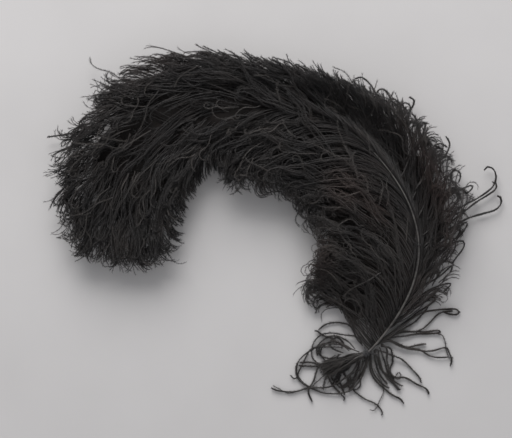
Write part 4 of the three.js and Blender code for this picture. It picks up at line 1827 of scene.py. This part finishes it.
@dataclass(frozen=True)
class Stem:
    """The flue-wrapped stem."""

    spine: Spine
    loft: Loft
    wrap: tuple[float, float] = (-54.0, -7.0)
    strands: int = 150
    strand_points: int = 22
    half_width: float = 5.0
    half_height: float = 6.4
    fray: tuple[float, float] = (-3.0, 9.0)
    widths: tuple[float, float] = (0.7, 1.1)
    barbules: int = 90
    barbule_length: float = 1.6
    spiral: tuple[float, float] = (0.5, 0.9)
    end_fullness: float = 0.4
    fullness_chance: float = 0.12
    layers: tuple[float, float] = (0.3, 1.05)
    loose: tuple[float, float] = (1.2, 2.3)
    loose_rise: float = 0.4
    waviness: float = 0.5
    lowest: float = 0.6
    core_radius: float = 3.6
    core_setback: float = 4.0
    core_points: int = 60
    core_sides: int = 20

    def _lines(self, rng: np.random.Generator) -> Array:
        """Strands bound along the stem, which spiral a little and fray at its cut end."""
        n, steps = self.strands, self.strand_points
        t = np.linspace(0.0, 1.0, steps)[None, :]
        start, end = self.wrap
        back = rng.uniform(*self.fray, (n, 1))
        s = end + (start + back - end) * t
        angle = rng.uniform(0, 2 * math.pi, (n, 1)) + t * rng.normal(*self.spiral, (n, 1))
        full = self.end_fullness + (1.0 - self.end_fullness) * smoothstep(t, 0.0, 0.45)
        full = full + rng.normal(0, self.fullness_chance, (n, 1))
        layer = rng.uniform(*self.layers, (n, 1))
        loose = rng.gamma(*self.loose, (n, 1)) * t**3
        wave = self.waviness * np.sin(rng.uniform(0, 6.3, (n, 1)) + t * rng.uniform(5, 14, (n, 1)))
        across = np.cos(angle) * (self.half_width * full * layer + loose) + wave
        rise = np.sin(angle) * (self.half_height * full * layer + self.loose_rise * loose)
        plan = self.spine.place(s, across)
        z = np.maximum(self.loft.thickness(s) / 2 + rise, self.lowest)
        return np.concatenate([plan, z[..., None]], axis=2)

    def _core(self) -> bpy.types.Object:
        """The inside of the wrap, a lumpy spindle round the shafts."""
        start, end = self.wrap
        s = np.linspace(start + self.core_setback, end, self.core_points)
        share = (s - s[0]) / (s[-1] - s[0])
        radius = self.core_radius * (0.6 + 0.4 * np.sin(math.pi * np.clip(share * 0.9 + 0.08, 0, 1)))
        radius = radius * (1 + 0.06 * np.sin(s * 1.7) + 0.04 * np.sin(s * 3.1))
        points = np.column_stack([self.spine.place(s, np.zeros_like(s)), self.loft.thickness(s) / 2])
        return strand_object("stem_core", [(points, radius)], self.core_sides)

    def build(
        self, finish: bpy.types.Material, core: bpy.types.Material, rng: np.random.Generator
    ) -> None:
        """Builds and dresses the wrap."""
        mesh = BarbMesh(barbules=self.barbules, barbule_length=self.barbule_length)
        lines = self._lines(rng)
        grow_on(mesh, lines, rng.uniform(*self.widths, len(lines)), self.spine, rng)
        dress(mesh.build("stem_wrap_strands"), finish, "loose_flue", "stem_wrap")
        dress(self._core(), core, "loose_flue")


# ---- Studio ----


@dataclass(frozen=True)
class Studio:
    """Pale surface, one broad soft light high beyond the plume, and a camera straight above."""

    aim: tuple[float, float]
    camera_height: float = 1.6
    frame_width: float = 0.512
    floor_half: float = 3.0
    floor_drop: float = 0.0002
    sensor: float = 36.0
    plume_height: float = 0.02
    window: tuple[float, float, float] = (-0.38, 1.95, 1.4)
    window_size: float = 1.7
    window_power: float = 59.0
    sky: str = "#e6e8ec"
    sky_strength: float = 0.5

    def _floor(self) -> None:
        """A pale matte surface with the faintest mottle."""
        bpy.ops.mesh.primitive_plane_add(size=2 * self.floor_half, location=(0, 0, -self.floor_drop))
        floor = bpy.context.object
        floor.name = "floor"
        material, tree, shader = new_material("pale_matte_board")
        mottle = noise(tree, add_node(tree, "ShaderNodeTexCoord").outputs["Object"], 9.0, 3.0)
        colour = ramp(tree, mottle, {0.3: "#cac7c6", 0.7: "#cecbca"})
        tree.links.new(colour, shader.inputs["Base Color"])
        shader.inputs["Roughness"].default_value = 0.85
        floor.data.materials.append(material)

    def _light(self) -> None:
        """The window: a square soft light aimed at the plume."""
        bpy.ops.object.light_add(type="AREA", location=self.window)
        light = bpy.context.object
        light.name = "window"
        light.data.size = self.window_size
        light.data.energy = self.window_power
        x, y, z = self.window
        light.rotation_euler = (math.atan2(math.hypot(x, y), z), 0.0, math.atan2(y, x) + math.pi / 2)

    def _camera(self) -> None:
        """The camera, looking straight down, with +Y up in the frame."""
        x, y = self.aim
        bpy.ops.object.camera_add(location=(x, y, self.camera_height), rotation=(0, 0, 0))
        camera = bpy.context.object
        camera.data.sensor_width = self.sensor
        distance = self.camera_height - self.plume_height
        camera.data.lens = self.sensor * distance / self.frame_width
        bpy.context.scene.camera = camera

    def build(self) -> None:
        """Sets up the whole studio."""
        self._floor()
        self._light()
        world = bpy.data.worlds.new("studio")
        world.use_nodes = True
        background = world.node_tree.nodes["Background"]
        background.inputs["Color"].default_value = linear(self.sky)
        background.inputs["Strength"].default_value = self.sky_strength
        bpy.context.scene.world = world
        bpy.context.scene.view_settings.view_transform = "Standard"
        self._camera()


def spine_from_frame() -> Spine:
    """The spine, set out from the stem end that the record states."""
    mount = next(m for m in frame["record"]["mounts"] if m["name"] == "stem_end")
    heading = math.atan2(-mount["axis"][1], -mount["axis"][0])
    across = np.array([-math.sin(heading), math.cos(heading)])
    end = np.array(mount["pos_m"][:2]) / MM - MOUNT_OFF_CENTRE * across
    return Spine((float(end[0]), float(end[1])), heading)


def main() -> None:
    """Builds the plume and the studio."""
    logging.basicConfig(level=logging.INFO, format="%(name)s %(message)s")
    rng = np.random.default_rng(SEED)
    spine, loft = spine_from_frame(), Loft()
    outline = Outline()
    barber = Barber(spine, loft, outline)
    vane_black = BarbFinish("dyed_ostrich_barb").material()
    vane_brown = BarbFinish(
        "dyed_ostrich_barb_base", dark="#140f0e", body="#1f1917", light="#342a26"
    ).material()
    flue = BarbFinish("loose_ostrich_flue", dark="#161312", body="#24201e", light="#3a3430").material()
    packed, keratin, cotton, covered = (
        RodFinish(*values).material()
        for values in (
            ("packed_barbs", "#130f0e", "#211a17", 1.2, (0.8, 0.98), 1.0),
            ("stained_keratin_shaft", "#353230", "#5f5c59", 3.0, (0.45, 0.62), 0.25),
            ("black_cotton_thread", "#121112", "#2a2829", 0.5, (0.75, 0.95), 0.6, 0.3),
            ("cotton_covered_wire", "#151415", "#2d2b2b", 0.6, (0.6, 0.85), 0.6, 0.2),
        )
    )
    shafts = Shafts(spine, loft)
    shafts.build(keratin, covered)
    Threadwork(spine, loft, shafts).build(cotton)
    finishes = {"vane_black": vane_black, "vane_brown_black": vane_brown}
    for feather in (FACE, MIDDLE, UNDER):
        feather.build(barber, finishes, rng)
    PackedBarbs(spine, loft, outline).build(packed)
    Coat(barber, Flow()).build(vane_black, rng)
    Stem(spine, loft).build(flue, cotton, rng)
    for wisps in (
        Wisps("stem_flue_inner_strands", INNER_STRANDS, "loose_flue", ("stem_flue_inner",)),
        Wisps("stem_flue_outer_strands", OUTER_STRANDS, "loose_flue", ("stem_flue_outer",)),
        Wisps("knot_flue_strands", KNOT_STRANDS, "loose_flue", ("knot_flue",)),
        Wisps("edge_strands", EDGE_STRANDS, "vane_black"),
    ):
        wisps.build(spine, flue, rng)
    centre = spine.knot + np.array(VIEW_CENTRE)
    Studio(aim=(float(centre[0]) * MM, float(centre[1]) * MM)).build()


if __name__ == "__main__":
    main()
